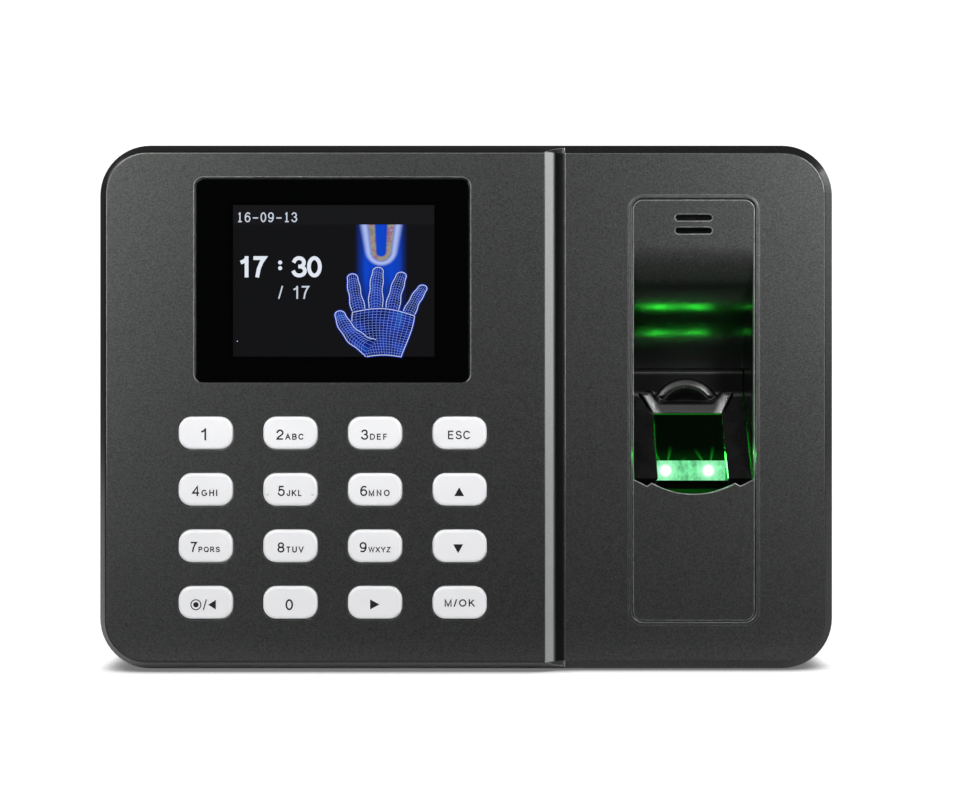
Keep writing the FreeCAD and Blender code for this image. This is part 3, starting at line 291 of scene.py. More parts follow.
def well_finish(net, base, rough, y, normal_x):
    """Behind the front plates the well is polished, and its colour is darkened with depth as painted
    shade. Returns inputs and bump strength.
    """
    depth = net.rise(y, -33.35, -30.6)
    dull_side = net.mul(depth, net.calc("GREATER_THAN", net.calc("ABSOLUTE", normal_x), 0.8))
    gloss = (0.235, 0.235, 0.235)
    # deeper in, the colour is darkened towards black as painted shade
    return dict(Base_Color=net.mix(depth, base, (0.0040, 0.0045, 0.0043)),
                Roughness=net.split(net.mix(depth, rough, gloss))[0],
                Metallic=net.between(depth, 0.86, 0.0),
                Coat_Weight=net.remap(depth, (0.0, 0.5), (0.85, 0.0)),
                Specular_IOR_Level=net.between(dull_side, 0.5, 0.12)), \
        net.between(depth, 0.26, 0.03)


def panel_finish(net, base, rough, x, y, z, draw):
    """The slope left of the groove is painted bright as a painted highlight, lighter towards the
    top; its floor is darkened as painted shade. Returns inputs and bump strength.
    """
    height = net.mul(net.rise(z, -60.6, -60.2), net.fade(z, 60.2, 60.6))
    slope = net.mul(net.rise(x, 18.62, 18.80), net.fade(x, 20.45, 21.25),
                    net.below(y, -33.2), height)
    # painted highlight on the slope, lighter towards the top
    slope_highlight = net.remap(z, (-52 * MM, 52 * MM), (0.30, 0.46))
    slope_highlight = net.mul(slope_highlight, net.between(draw, 0.94, 1.06))
    base = net.mix(slope, base, net.tint((0.98, 1.0, 1.0), slope_highlight))
    # painted shade on the groove's floor
    groove = net.mul(net.rise(x, 20.9, 21.6), net.fade(x, 23.25, 23.40), height)
    return dict(Base_Color=net.mix(net.mul(groove, 0.92), base, (0.003, 0.0032, 0.003)),
                Roughness=rough,
                Metallic=net.between(slope, 0.86, 0.0),
                Coat_Weight=net.between(net.most(slope, groove), 0.85, 0.1),
                Specular_IOR_Level=net.between(slope, 0.5, 0.2)), 0.26


def gunmetal(name, well=False):
    """Satin metallic paint under thin lacquer: sparkle, orange peel, edges painted paler as a
    painted highlight, partly rubbed paint.
    """
    net = material_net(name)
    coord = net.coord()
    x, y, z = net.split(coord)
    # two random draws for each flake
    draw, spark_draw, _ = net.split(net.voronoi(coord, cell(0.21)).outputs["Color"])
    value = net.mul(net.between(draw, 0.66, 1.34), net.grain(coord, size=0.60, amount=0.05),
                    net.mottle(coord, scale=14.0, low=0.975, high=1.025, detail=3.0))
    base = net.tint((0.0465, 0.0487, 0.0470), value)
    spark = net.calc("GREATER_THAN", spark_draw, 0.965)
    base = net.mix(net.mul(spark, 0.22), base, (0.14, 0.144, 0.144))
    peel = net.noise(coord, cell(0.34), detail=3.0, rough=0.6)
    rough = net.mottle(coord, cell(1.4), low=0.37, high=0.42)
    soft = net.bevel(0.20, samples=6)

    geometry = net.node("NewGeometry")
    edge_highlight_and_wear = painted_edge_highlight_and_wear(net, coord, x, z, geometry)
    # painted highlight along proud edges, partly rubbed paint
    base = net.mix(net.mul(edge_highlight_and_wear, 0.85), base, (0.44, 0.45, 0.45))
    normal_x, normal_y, _ = net.split(geometry.outputs["True Normal"])
    # painted shade on the slopes round the left panel
    base = net.mix(painted_slope_shade(net, x, z, normal_y, edge_highlight_and_wear), base, (0.004, 0.004, 0.004))

    if well:
        inputs, strength = well_finish(net, base, rough, y, normal_x)
    else:
        inputs, strength = panel_finish(net, base, rough, x, y, z, draw)
    return net.paint(Normal=net.bump(peel, strength, depth=0.012, normal=soft),
                     Coat_Roughness=0.13, Coat_Normal=soft, **inputs)


# ------------------------------------------------------------------ plastics, metals and boards
def moulded(name, colour, rough, grain, bump, gloss_range=0.05, edge=0.15):
    """Grained moulding with a slight shade change and dust-softened gloss; grain and edge in mm."""
    net = material_net(name)
    coord = net.coord()
    value = net.mul(net.grain(coord, size=grain, amount=0.10),
                    net.mottle(coord, scale=22.0, low=0.92, high=1.06, detail=3.0))
    height = net.noise(coord, cell(grain), detail=3.0, rough=0.65)
    return net.paint(
        Base_Color=net.tint(colour, value),
        Normal=net.bump(height, bump, depth=0.03, normal=net.bevel(edge)),
        Roughness=net.mottle(coord, scale=60.0, low=rough - gloss_range,
                             high=rough + gloss_range, detail=4.0))


def key_plastic():
    """White keys, painted slightly darker towards the bottom of the keypad as painted shade."""
    net = material_net("key_white")
    coord = net.coord()
    value = net.mul(net.grain(coord, size=0.22, amount=0.018),
                    net.mottle(coord, scale=120.0, low=0.985, high=1.01),
                    net.remap(net.split(coord)[2], (-46 * MM, -6 * MM), (0.87, 1.0)))
    height = net.noise(coord, cell(0.20), detail=2.0, rough=0.6)
    normal = net.bump(height, strength=0.10, depth=0.01)
    # light scatters inside the moulding and evens out the shading over its rounded edge
    even = net.node("Mix", data_type="VECTOR")
    for index, part in ((0, 0.45), (4, normal), (5, (0.0, -1.0, 0.0))):
        net.feed(even.inputs[index], part)
    normal = net.node("VectorMath", {0: even.outputs[1]}, operation="NORMALIZE").outputs[0]
    return net.paint(
        Base_Color=net.tint((0.785, 0.785, 0.80), value),
        Roughness=net.mottle(coord, scale=300.0, low=0.36, high=0.44, detail=3.0),
        Normal=normal, Subsurface_Weight=0.12, Subsurface_Scale=0.6 * MM,
        Subsurface_Radius=(1.0, 0.9, 0.8))


def print_and_shadow_paint(name, colour, rough):
    """Pad-printed legend colour with slightly uneven density; it also paints the painted shadows at
    the foot of the key ribs.
    """
    net = material_net(name)
    density = net.mottle(net.coord(), cell(0.12), low=0.75, high=1.35, detail=3.0)
    return net.paint(Base_Color=net.tint(colour, density), Roughness=rough,
                     Specular_IOR_Level=0.25)


def metal(name, colour, rough, brush=(1, 1, 1)):
    """Bare metal; brush squeezes the texture along each axis."""
    net = material_net(name)
    coord = net.mapping(net.coord(), brush)
    value = net.mottle(coord, cell(0.3), low=0.86, high=1.12, detail=4.0, rough=0.6)
    height = net.noise(coord, cell(0.3), detail=3.0)
    return net.paint(
        Base_Color=net.tint(colour, value), Metallic=1.0,
        Normal=net.bump(height, strength=0.08, depth=0.02, normal=net.bevel(0.12)),
        Roughness=net.mottle(coord, scale=200.0, low=rough * 0.8, high=rough * 1.25,
                             detail=4.0))


def circuit_board():
    """Solder mask over copper traces, with vias."""
    net = material_net("circuit_board")
    upright = net.mapping(net.coord(), rotation=(math.radians(90), 0, 0))
    traces = net.node("TexBrick", {
        "Vector": upright, "Scale": 180.0, "Mortar Size": 0.03,
        "Color1": (0.010, 0.085, 0.035), "Color2": (0.012, 0.10, 0.042),
        "Mortar": (0.03, 0.19, 0.085)})
    spacing = net.voronoi(upright, scale=420.0).outputs["Distance"]
    via = net.calc("LESS_THAN", spacing, 0.11)
    return net.paint(
        Base_Color=net.mix(net.mul(via, 0.8), traces.outputs["Color"], (0.55, 0.50, 0.34)),
        Roughness=0.32, Normal=net.bump(traces.outputs["Fac"], strength=0.2, depth=0.02))


def shaded_board():
    """Matt black solder mask, painted almost black as painted shade for its place deep inside."""
    net = material_net("shaded_board")
    coord = net.coord()
    height = net.noise(coord, cell(0.4))
    return net.paint(
        Base_Color=net.tint((0.0014, 0.0014, 0.0013), net.grain(coord, 0.35, amount=0.15)),
        Roughness=0.8, Specular_IOR_Level=0.03,
        Normal=net.bump(height, strength=0.2, depth=0.02))


def gloss_black():
    """Semi-gloss black moulding with faint flow marks."""
    net = material_net("gloss_black_moulding")
    coord = net.coord()
    value = net.mottle(coord, scale=90.0, low=0.85, high=1.15, detail=4.0)
    height = net.noise(coord, cell(0.8), detail=3.0)
    return net.paint(
        Base_Color=net.tint((0.010, 0.011, 0.011), value),
        Normal=net.bump(height, strength=0.10, depth=0.01),
        Roughness=net.mottle(coord, scale=260.0, low=0.17, high=0.24, detail=4.0))


def lens_material():
    """Clear window framed by glossy black print, with faint dust and wipe marks."""
    half_width, half_height = 24.9, 18.8
    net = material_net("display_lens")
    coord = net.coord()
    x, _, z = net.split(coord)
    window = net.mul(net.below(net.away(x, DISPLAY_X), half_width),
                     net.below(net.away(z, DISPLAY_Z), half_height))
    wiped = net.mapping(coord, scale=(1, 1, 3.5), rotation=(0, 0.5, 0))
    smear = net.noise(wiped, scale=60.0, detail=5.0, rough=0.6)
    rough = net.remap(smear, (0.35, 0.75), (0.025, 0.07))
    dust = net.voronoi(coord, scale=900.0).outputs["Distance"]
    speck = net.mul(net.calc("LESS_THAN", dust, 0.06), 0.10)
    black = net.mix(speck, (0.0010, 0.0011, 0.0011), (0.05, 0.05, 0.05))
    frame_print = net.principled(Base_Color=black, Roughness=rough, Specular_IOR_Level=0.5,
                                 Normal=net.bevel(0.15))
    clear = net.node("BsdfTransparent", {0: (0.93, 0.94, 0.95)}).outputs[0]
    gloss = net.node("BsdfGlossy", {"Roughness": rough}).outputs[0]
    # only the outer face mirrors; light leaving through the inner face is not held back
    fresnel = net.node("Fresnel", {"IOR": 1.49}).outputs[0]
    inner_face = net.node("NewGeometry").outputs["Backfacing"]
    pane = net.mix_shader(net.mul(fresnel, net.invert(inner_face)), clear, gloss)
    return net.finish(net.mix_shader(window, frame_print, pane))


# ------------------------------------------------------------------ materials of the CAD parts
# Each material with the parts that wear it
FINISHES = [
    (shaded_board(), "sensor_led_board"),
    (gunmetal("gunmetal_paint"), "front_cover"),
    (gunmetal("gunmetal_paint_well", well=True), "sensor_bezel"),
    (moulded("black_shell", (0.030, 0.031, 0.031), rough=0.46, grain=0.42, bump=0.75,
             gloss_range=0.06, edge=0.25), "rear_housing"),
    (key_plastic(), " ".join(KEYS)),
    (lens_material(), "display_lens"),
    (moulded("grey_silicone", (0.30, 0.31, 0.32), rough=0.6, grain=0.5, bump=0.15),
     "keypad_membrane"),
    (circuit_board(), "keypad_pcb sensor_camera_board main_pcb wifi_antenna"),
    (moulded("foam_tape", (0.02, 0.02, 0.02), rough=0.8, grain=0.3, bump=0.4),
     "lens_adhesive"),
    (metal("stamped_steel", (0.50, 0.50, 0.49), rough=0.35, brush=(1, 1, 12)),
     "lcd_frame lcd_bracket"),
    (metal("tinned_steel", (0.62, 0.62, 0.60), rough=0.28, brush=(10, 1, 1)),
     "wifi_module coin_cell usb_port ethernet_port"),
    (metal("zinc_plate", (0.56, 0.57, 0.58), rough=0.32),
     "case_screws keypad_screws lcd_screws bezel_screws sensor_screws main_pcb_screws "
     "bracket_lock_screw"),
    (moulded("black_powder_coat", (0.035, 0.035, 0.036), rough=0.42, grain=0.30, bump=0.6,
             edge=0.2), "wall_bracket"),
    (moulded("amber_film", (0.42, 0.20, 0.03), rough=0.3, grain=1.0, bump=0.05),
     "lcd_ribbon keypad_ribbon"),
    (moulded("white_film", (0.75, 0.76, 0.76), rough=0.5, grain=0.6, bump=0.05),
     "lcd_backlight"),
    (moulded("cable_jacket", (0.03, 0.03, 0.03), rough=0.55, grain=0.4, bump=0.2),
     "sensor_cable speaker_wires antenna_lead"),
    (moulded("chip_black", (0.025, 0.025, 0.026), rough=0.5, grain=0.2, bump=0.3),
     "speaker pcb_components"),
    (moulded("socket_black", (0.02, 0.02, 0.02), rough=0.4, grain=0.3, bump=0.2),
     "coin_cell_holder power_jack"),
    (gloss_black(), "sensor_housing sensor_lens"),
    (moulded("display_glass", (0.003, 0.003, 0.004), rough=0.5, grain=2.0, bump=0.0,
             gloss_range=0.02, edge=0.05), "lcd_glass"),
]
material_of = {part: material for material, parts in FINISHES for part in parts.split()}


def set_material(mesh, material):
    mesh.materials.clear()
    mesh.materials.append(material)


def split_edges(obj, degrees):
    modifier = obj.modifiers.new("edges", "EDGE_SPLIT")
    modifier.split_angle = math.radians(degrees)


def clear_normals(obj):
    if obj.data.has_custom_normals:
        bpy.context.view_layer.objects.active = obj
        with bpy.context.temp_override(object=obj, active_object=obj, selected_objects=[obj]):
            bpy.ops.mesh.customdata_custom_splitnormals_clear()


def smooth(obj):
    """Round surfaces shade smoothly and real edges stay crisp."""
    for polygon in obj.data.polygons:
        polygon.use_smooth = True
    weld = obj.modifiers.new("weld", "WELD")
    weld.merge_threshold = 1e-6
    split_edges(obj, 30.0)
    flats = obj.modifiers.new("flats", "WEIGHTED_NORMAL")
    flats.mode = "FACE_AREA"
    flats.weight = 100
    flats.keep_sharp = True


for part_name, part in nodes.items():
    if part_name in material_of:
        set_material(part.data, material_of[part_name])
    clear_normals(part)
    smooth(part)


# ------------------------------------------------------------------ mesh helpers
def add_object(name, mesh, material, body):
    mesh.name = name
    obj = bpy.data.objects.new(name, mesh)
    scene.collection.objects.link(obj)
    set_material(mesh, material)
    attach(obj, body)
    return obj


def to_mesh(bm, recalc=True):
    if recalc:
        bmesh.ops.recalc_face_normals(bm, faces=bm.faces)
    mesh = bpy.data.meshes.new("part")
    bm.to_mesh(mesh)
    bm.free()
    return mesh


def join_meshes(meshes):
    bm = bmesh.new()
    for mesh in meshes:
        bm.from_mesh(mesh)
    return to_mesh(bm, recalc=False)


def arc(x, z, radius_x, radius_z, start, end, steps=14):
    """Points on an ellipse from one angle to another, in degrees."""
    angles = [math.radians(start + (end - start) * i / steps) for i in range(steps + 1)]
    return [(x + radius_x * math.cos(a), z + radius_z * math.sin(a)) for a in angles]


def loop(x, z, radius_x, radius_z):
    """A full ellipse, marked as a closed stroke."""
    return arc(x, z, radius_x, radius_z, 90, 450, 30)[:-1] + ["closed"]


def circle(x, z, radius, count=40):
    return [(x + radius * math.cos(2 * math.pi * i / count),
             z + radius * math.sin(2 * math.pi * i / count)) for i in range(count)]


def rect(x0, x1, z0, z1):
    return [(x0, z0), (x1, z0), (x1, z1), (x0, z1)]


def rounded_rect(x, z, width, height, radius, steps=8):
    points = []
    for side_x, side_z, start in ((1, 1, 0), (-1, 1, 90), (-1, -1, 180), (1, -1, 270)):
        points += arc(x + side_x * (width / 2 - radius), z + side_z * (height / 2 - radius),
                      radius, radius, start, start + 90, steps)
    return points


def prism_mesh(outline, y, thick, holes=()):
    """Flat plate from an outline of (x, z), its back at y and grown towards the user."""
    bm = bmesh.new()
    edges = []
    for points in [outline] + list(holes):
        verts = [bm.verts.new((x * MM, y * MM, z * MM)) for x, z in points]
        for i in range(len(verts)):
            edges.append(bm.edges.new((verts[i], verts[(i + 1) % len(verts)])))
    bmesh.ops.triangle_fill(bm, use_beauty=True, use_dissolve=False, edges=edges,
                            normal=(0, -1, 0))
    grown = bmesh.ops.extrude_face_region(bm, geom=list(bm.faces))
    moved = [item for item in grown["geom"] if isinstance(item, bmesh.types.BMVert)]
    bmesh.ops.translate(bm, verts=moved, vec=Vector((0, -thick * MM, 0)))
    return to_mesh(bm)


def lathe_y(x, z, profile, count=40):
    """Closed shape turned about a front-to-back axis from (radius, y); the ends sit on it."""
    bm = bmesh.new()
    rings = []
    for radius, y in profile:
        points = [(x, z)] if radius == 0 else circle(x, z, radius, count)
        rings.append([bm.verts.new((px * MM, y * MM, pz * MM)) for px, pz in points])
    for ring, following in zip(rings, rings[1:]):
        for i in range(count):
            j = (i + 1) % count
            if len(ring) == 1:
                bm.faces.new((ring[0], following[i], following[j]))
            elif len(following) == 1:
                bm.faces.new((ring[i], following[0], ring[j]))
            else:
                bm.faces.new((ring[i], following[i], following[j], ring[j]))
    return to_mesh(bm)


def ribbon(bm, points, width, y, thick=0.006, closed=False):
    """Flat line of constant width through (x, z) points, with square ends and mitred corners."""
    shortest_mitre = 0.42       # cosine that limits how far a sharp corner reaches out
    count = len(points)
    spans = count if closed else count - 1
    directions = []
    for i in range(spans):
        (ax, az), (bx, bz) = points[i], points[(i + 1) % count]
        length = math.hypot(bx - ax, bz - az) or 1.0
        directions.append(((bx - ax) / length, (bz - az) / length))
    rings = []
    for i, (x, z) in enumerate(points):
        before = directions[i - 1] if closed or i > 0 else directions[0]
        after = directions[i % spans] if closed or i < count - 1 else directions[-1]
        mitre_x = -before[1] - after[1]
        mitre_z = before[0] + after[0]
        length = math.hypot(mitre_x, mitre_z)
        if length < 1e-6:
            mitre_x, mitre_z, length = -before[1], before[0], 1.0
        mitre_x /= length
        mitre_z /= length
        cosine = max(shortest_mitre, mitre_z * before[0] - mitre_x * before[1])
        reach = width / 2 / cosine
        low = (x - mitre_x * reach, z - mitre_z * reach)
        high = (x + mitre_x * reach, z + mitre_z * reach)
        front = y - thick
        rings.append([bm.verts.new((corner[0] * MM, depth * MM, corner[1] * MM))
                      for corner, depth in ((low, y), (high, y), (high, front), (low, front))])
    for i in range(spans):
        ring, following = rings[i], rings[(i + 1) % count]
        for j in range(4):
            k = (j + 1) % 4
            bm.faces.new((ring[j], ring[k], following[k], following[j]))
    if not closed:
        bm.faces.new(rings[0])
        bm.faces.new(list(reversed(rings[-1])))


# ------------------------------------------------------------------ lettering
# Plain single-weight characters: width, then the centre lines as (x, z), capital height 1.
# The "!" is a 1 with a foot.
STEM = [(0.02, 0), (0.02, 1)]
GLYPHS = {
    "A": (0.90, [[(0, 0), (0.45, 1), (0.9, 0)], [(0.17, 0.35), (0.73, 0.35)]]),
    "B": (0.78, [STEM + [(0.42, 1)] + arc(0.42, 0.765, 0.28, 0.235, 90, -90) + [(0.05, 0.53)],
                 [(0.40, 0.53), (0.46, 0.53)] + arc(0.46, 0.265, 0.30, 0.265, 90, -90)
                 + [(0.02, 0)]]),
    "C": (0.90, [arc(0.46, 0.5, 0.46, 0.5, 42, 318, 26)]),
    "D": (0.86, [STEM + [(0.38, 1)] + arc(0.38, 0.5, 0.46, 0.5, 90, -90, 20) + [(0.02, 0)]]),
    "E": (0.74, [[(0.72, 1), (0.02, 1), (0.02, 0), (0.74, 0)], [(0.05, 0.52), (0.66, 0.52)]]),
    "F": (0.68, [[(0.68, 1), (0.02, 1), (0.02, 0)], [(0.05, 0.49), (0.60, 0.49)]]),
    "G": (0.98, [arc(0.49, 0.5, 0.47, 0.5, 44, 320, 26)
                 + [(0.92, 0.20), (0.92, 0.46), (0.55, 0.46)]]),
    "H": (0.78, [STEM, [(0.76, 0), (0.76, 1)], [(0.05, 0.53), (0.73, 0.53)]]),
    "I": (0.06, [[(0.03, 0), (0.03, 1)]]),
    "J": (0.50, [[(0.48, 1)] + arc(0.25, 0.25, 0.23, 0.25, 0, -180) + [(0.02, 0.33)]]),
    "K": (0.76, [STEM, [(0.70, 1), (0.04, 0.34)], [(0.29, 0.56), (0.75, 0)]]),
    "L": (0.62, [[(0.02, 1), (0.02, 0), (0.62, 0)]]),
    "M": (0.92, [STEM + [(0.46, 0.02), (0.90, 1), (0.90, 0)]]),
    "N": (0.76, [STEM + [(0.74, 0), (0.74, 1)]]),
    "O": (0.98, [loop(0.49, 0.5, 0.47, 0.5)]),
    "P": (0.74, [STEM + [(0.44, 1)] + arc(0.44, 0.735, 0.28, 0.265, 90, -90) + [(0.05, 0.47)]]),
    "Q": (0.98, [loop(0.49, 0.5, 0.47, 0.5), [(0.58, 0.24), (0.94, -0.05)]]),
    "R": (0.80, [STEM + [(0.46, 1)] + arc(0.46, 0.74, 0.27, 0.26, 90, -90) + [(0.05, 0.48)],
                 [(0.42, 0.46), (0.78, 0)]]),
    "S": (0.78, [arc(0.39, 0.75, 0.32, 0.25, 25, 262, 18)
                 + arc(0.40, 0.25, 0.37, 0.25, 80, -160, 18)]),
    "T": (0.76, [[(0.0, 1), (0.76, 1)], [(0.38, 0.97), (0.38, 0)]]),
    "U": (0.78, [[(0.02, 1)] + arc(0.39, 0.37, 0.37, 0.37, 180, 360, 18) + [(0.76, 1)]]),
    "V": (0.86, [[(0, 1), (0.43, 0), (0.86, 1)]]),
    "W": (1.24, [[(0, 1), (0.30, 0), (0.62, 1), (0.94, 0), (1.24, 1)]]),
    "X": (0.82, [[(0.02, 1), (0.82, 0)], [(0.78, 1), (0, 0)]]),
    "Y": (0.84, [[(0, 1), (0.42, 0.44), (0.84, 1)], [(0.42, 0.46), (0.42, 0)]]),
    "Z": (0.76, [[(0.04, 1), (0.73, 1), (0.02, 0), (0.76, 0)]]),
    "/": (0.30, [[(0, 0), (0.30, 1)]]),
    "-": (0.66, [[(0, 0.42), (0.66, 0.42)]]),
    "!": (0.56, [[(0.28, 0.03), (0.28, 1)], [(0.10, 0.86), (0.27, 0.93)],
                 [(0.06, 0), (0.52, 0)]]),
    "0": (0.58, [loop(0.29, 0.5, 0.28, 0.5)]),
    "1": (0.36, [[(0.31, 0), (0.31, 1)], [(0.0, 0.745), (0.16, 0.81), (0.29, 0.93)]]),
    "2": (0.60, [arc(0.31, 0.715, 0.28, 0.285, 172, -38, 18)
                 + [(0.14, 0.20), (0.05, 0.08), (0.02, 0.0), (0.60, 0.0)]]),
    "3": (0.58, [arc(0.28, 0.75, 0.25, 0.25, 160, -72, 18) + [(0.30, 0.515)],
                 [(0.24, 0.515)] + arc(0.29, 0.265, 0.29, 0.265, 72, -160, 20)]),
    "4": (0.64, [[(0.46, 0), (0.46, 1), (0.0, 0.26), (0.64, 0.26)]]),
    "5": (0.60, [[(0.54, 1), (0.15, 1), (0.07, 0.50)]
                 + arc(0.30, 0.33, 0.29, 0.33, 128, -158, 22)]),
    "6": (0.60, [loop(0.31, 0.315, 0.28, 0.315),
                 arc(0.36, 0.50, 0.33, 0.50, 52, 180, 16) + [(0.03, 0.34)]]),
    "7": (0.58, [[(0.0, 1), (0.57, 1), (0.42, 0.76), (0.28, 0.40), (0.21, 0)]]),
    "8": (0.60, [loop(0.30, 0.75, 0.24, 0.25), loop(0.30, 0.26, 0.28, 0.26)]),
    "9": (0.60, [loop(0.29, 0.685, 0.28, 0.315), arc(0.24, 0.50, 0.33, 0.50, 0, -128, 16)]),
}
STROKE_STEP = 0.0012        # each further stroke of a character stands this much prouder


def letters(text, height, weight, width, left, base, stretch, y, thick):
    """Text standing on base from left, spaced out to a width; weight is a share of the height."""
    stroke_width = weight * height
    scale_z = height - stroke_width
    advances = [GLYPHS[char][0] * scale_z * stretch + stroke_width for char in text]
    gap = (width - sum(advances)) / max(1, len(text) - 1)
    bm = bmesh.new()
    for char, advance in zip(text, advances):
        for j, stroke in enumerate(GLYPHS[char][1]):
            closed = stroke[-1] == "closed"
            points = [(left + stroke_width / 2 + x * scale_z * stretch,
                       base + stroke_width / 2 + z * scale_z)
                      for x, z in (stroke[:-1] if closed else stroke)]
            if not closed:
                # steep ends are carried out to the full height
                for end, inner in ((0, 1), (-1, -2)):
                    dx = points[end][0] - points[inner][0]
                    dz = points[end][1] - points[inner][1]
                    length = math.hypot(dx, dz)
                    if abs(dz) > 0.7 * length:
                        points[end] = (points[end][0] + dx / length * stroke_width / 2,
                                       points[end][1] + dz / length * stroke_width / 2)
            ribbon(bm, points, stroke_width, y, thick + STROKE_STEP * j, closed)
        left += advance + gap
    return to_mesh(bm)


# ------------------------------------------------------------------ key legends
KEY_FRONT = -36.8
LEGEND_BACK = KEY_FRONT + 0.004     # the ink starts just below the key's face
LEGEND_THICK = 0.016

# text, height, weight, width, left and base from the key's centre, stretch of the characters;
# the width doesn't matter for a single character
LEGENDS = {
    "key_1": [("1", 2.86, 0.150, 0, -1.15, -1.72, 1.25)],
    "key_2": [("2", 2.44, 0.150, 0, -3.25, -1.57, 1.12),
              ("ABC", 1.45, 0.190, 4.40, -1.15, -1.57, 0.96)],
    "key_3": [("3", 2.44, 0.150, 0, -3.27, -1.57, 1.12),
              ("DEF", 1.45, 0.190, 4.15, -1.17, -1.57, 0.96)],
    "key_esc": [("ESC", 2.05, 0.155, 5.33, -2.77, -1.45, 0.90)],
    "key_4": [("4", 2.44, 0.150, 0, -3.12, -1.50, 1.12),
              ("GHI", 1.50, 0.190, 3.80, -0.92, -1.50, 0.96)],
    "key_5": [("5", 2.44, 0.150, 0, -2.95, -1.50, 1.12),
              ("JKL", 1.45, 0.190, 3.64, -0.80, -1.50, 0.96)],
    "key_6": [("6", 2.44, 0.150, 0, -3.52, -1.50, 1.12),
              ("MNO", 1.50, 0.190, 5.00, -1.47, -1.50, 0.96)],
    "key_7": [("7", 2.44, 0.150, 0, -3.62, -1.37, 1.12),
              ("PQRS", 1.30, 0.190, 5.10, -1.62, -1.37, 0.96)],
    "key_8": [("8", 2.44, 0.150, 0, -3.02, -1.47, 1.12),
              ("TUV", 1.45, 0.190, 4.20, -0.97, -1.47, 0.96)],
    "key_9": [("9", 2.44, 0.150, 0, -3.62, -1.42, 1.12),
              ("WXYZ", 1.30, 0.190, 5.24, -1.52, -1.42, 0.96)],
    "key_power_left": [("/", 2.55, 0.105, 0, -0.55, -1.70, 0.95)],
    "key_0": [("0", 2.62, 0.150, 0, -1.10, -1.72, 1.12)],
    "key_menu_ok": [("M/OK", 1.76, 0.175, 7.15, -3.57, -0.88, 1.06)],
}
# Corners of the arrows from the key's centre
ARROWS = {
    "key_up": [(-1.27, -1.5), (1.07, -1.5), (-0.10, 0.6)],
    "key_down": [(-1.52, 0.48), (0.82, 0.48), (-0.35, -1.62)],
    "key_right": [(-1.12, 0.85), (-1.12, -1.55), (1.12, -0.35)],
    "key_power_left": [(2.50, 0.73), (2.50, -1.57), (0.70, -0.42)],
}
POWER_SIGN = (-2.20, -0.42)         # centre of the ring and dot, from the key's centre
POWER_RADII = (1.29, 1.04, 0.64)    # ring outside, ring inside, dot
RIB_X = 5.33                        # touch ribs either side of the centre of key 5
# Corners of the painted shadow dash at the foot of a rib, from the rib and the key's centre
RIB_DASH = [(-0.36, -0.98), (0.36, -0.98), (0.20, -1.30), (-0.20, -1.30)]


def legend_plate(outline, holes=()):
    return prism_mesh(outline, LEGEND_BACK, LEGEND_THICK, holes)


def shifted(points, dx, dz):
    return [(dx + x, dz + z) for x, z in points]


legend_ink = print_and_shadow_paint("legend_ink", (0.0045, 0.0045, 0.005), rough=0.5)
rib_shadow_paint = print_and_shadow_paint("rib_shade", (0.30, 0.30, 0.31), rough=0.6)

for key in KEYS:
    key_lo, key_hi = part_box(key)
    key_x = (key_lo.x + key_hi.x) / 2 / MM
    key_z = (key_lo.z + key_hi.z) / 2 / MM
    marks = []
    if key == "key_power_left":
        sign_x, sign_z = key_x + POWER_SIGN[0], key_z + POWER_SIGN[1]
        ring_outer, ring_inner, dot = [circle(sign_x, sign_z, r) for r in POWER_RADII]
        marks += [legend_plate(ring_outer, [ring_inner]), legend_plate(dot)]
    for text, height, weight, width, left, base, stretch in LEGENDS.get(key, ()):
        marks.append(letters(text, height, weight, width, key_x + left, key_z + base, stretch,
                             LEGEND_BACK, LEGEND_THICK))
    if key in ARROWS:
        marks.append(legend_plate(shifted(ARROWS[key], key_x, key_z)))
    add_object("legend_" + key, join_meshes(marks), legend_ink, key)
    # painted shadows at the foot of the two touch ribs on key 5
    if key == "key_5":
        dashes = [legend_plate(shifted(RIB_DASH, key_x + side * RIB_X, key_z))
                  for side in (-1, 1)]
        add_object("rib_marks", join_meshes(dashes), rib_shadow_paint, key)


# ------------------------------------------------------------------ rubber mat under the keys
# The sheet stays still, and each dome gets a mesh of its own.
MAT_BACK, MAT_FRONT = -29.72, -30.5
FIRST_X, PITCH_X = -61.5, 20.0      # dome columns, from the left
FIRST_Z, PITCH_Z = -6.15, 13.35     # dome rows, from the top
MAT_X, MAT_Z = FIRST_X + 1.5 * PITCH_X, -26.2
HOLLOW_RADIUS = 3.4
# Dome profile: radius, y
DOME = [(0, -31.02), (HOLLOW_RADIUS, -31.02), (HOLLOW_RADIUS, MAT_FRONT), (4.0, MAT_FRONT),
        (4.0, -31.6), (2.4, -31.6), (2.4, -32.45), (0, -32.45)]

dome_places = [(FIRST_X + PITCH_X * (i % 4), FIRST_Z - PITCH_Z * (i // 4)) for i in range(16)]
small_holes = [(MAT_X - PITCH_X, -3.0), (MAT_X + PITCH_X, -3.0),
               (MAT_X - PITCH_X, -49.3), (MAT_X + PITCH_X, -49.3), (MAT_X, MAT_Z)]
mat_holes = [circle(x, z, HOLLOW_RADIUS) for x, z in dome_places]
mat_holes += [circle(x, z, 2.1, 24) for x, z in small_holes]
silicone = material_of["keypad_membrane"]
mat_outline = rounded_rect(MAT_X, MAT_Z, width=79.0, height=53.0, radius=2.0)
mat_sheet = add_object("mat_sheet",
                       prism_mesh(mat_outline, MAT_BACK, MAT_BACK - MAT_FRONT, mat_holes),
                       silicone, "housing")
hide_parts("keypad_membrane")
for key, (x, z) in zip(KEYS, dome_places):
    dome = add_object("dome_" + key, lathe_y(x, z, DOME), silicone, "housing")
    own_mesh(dome)


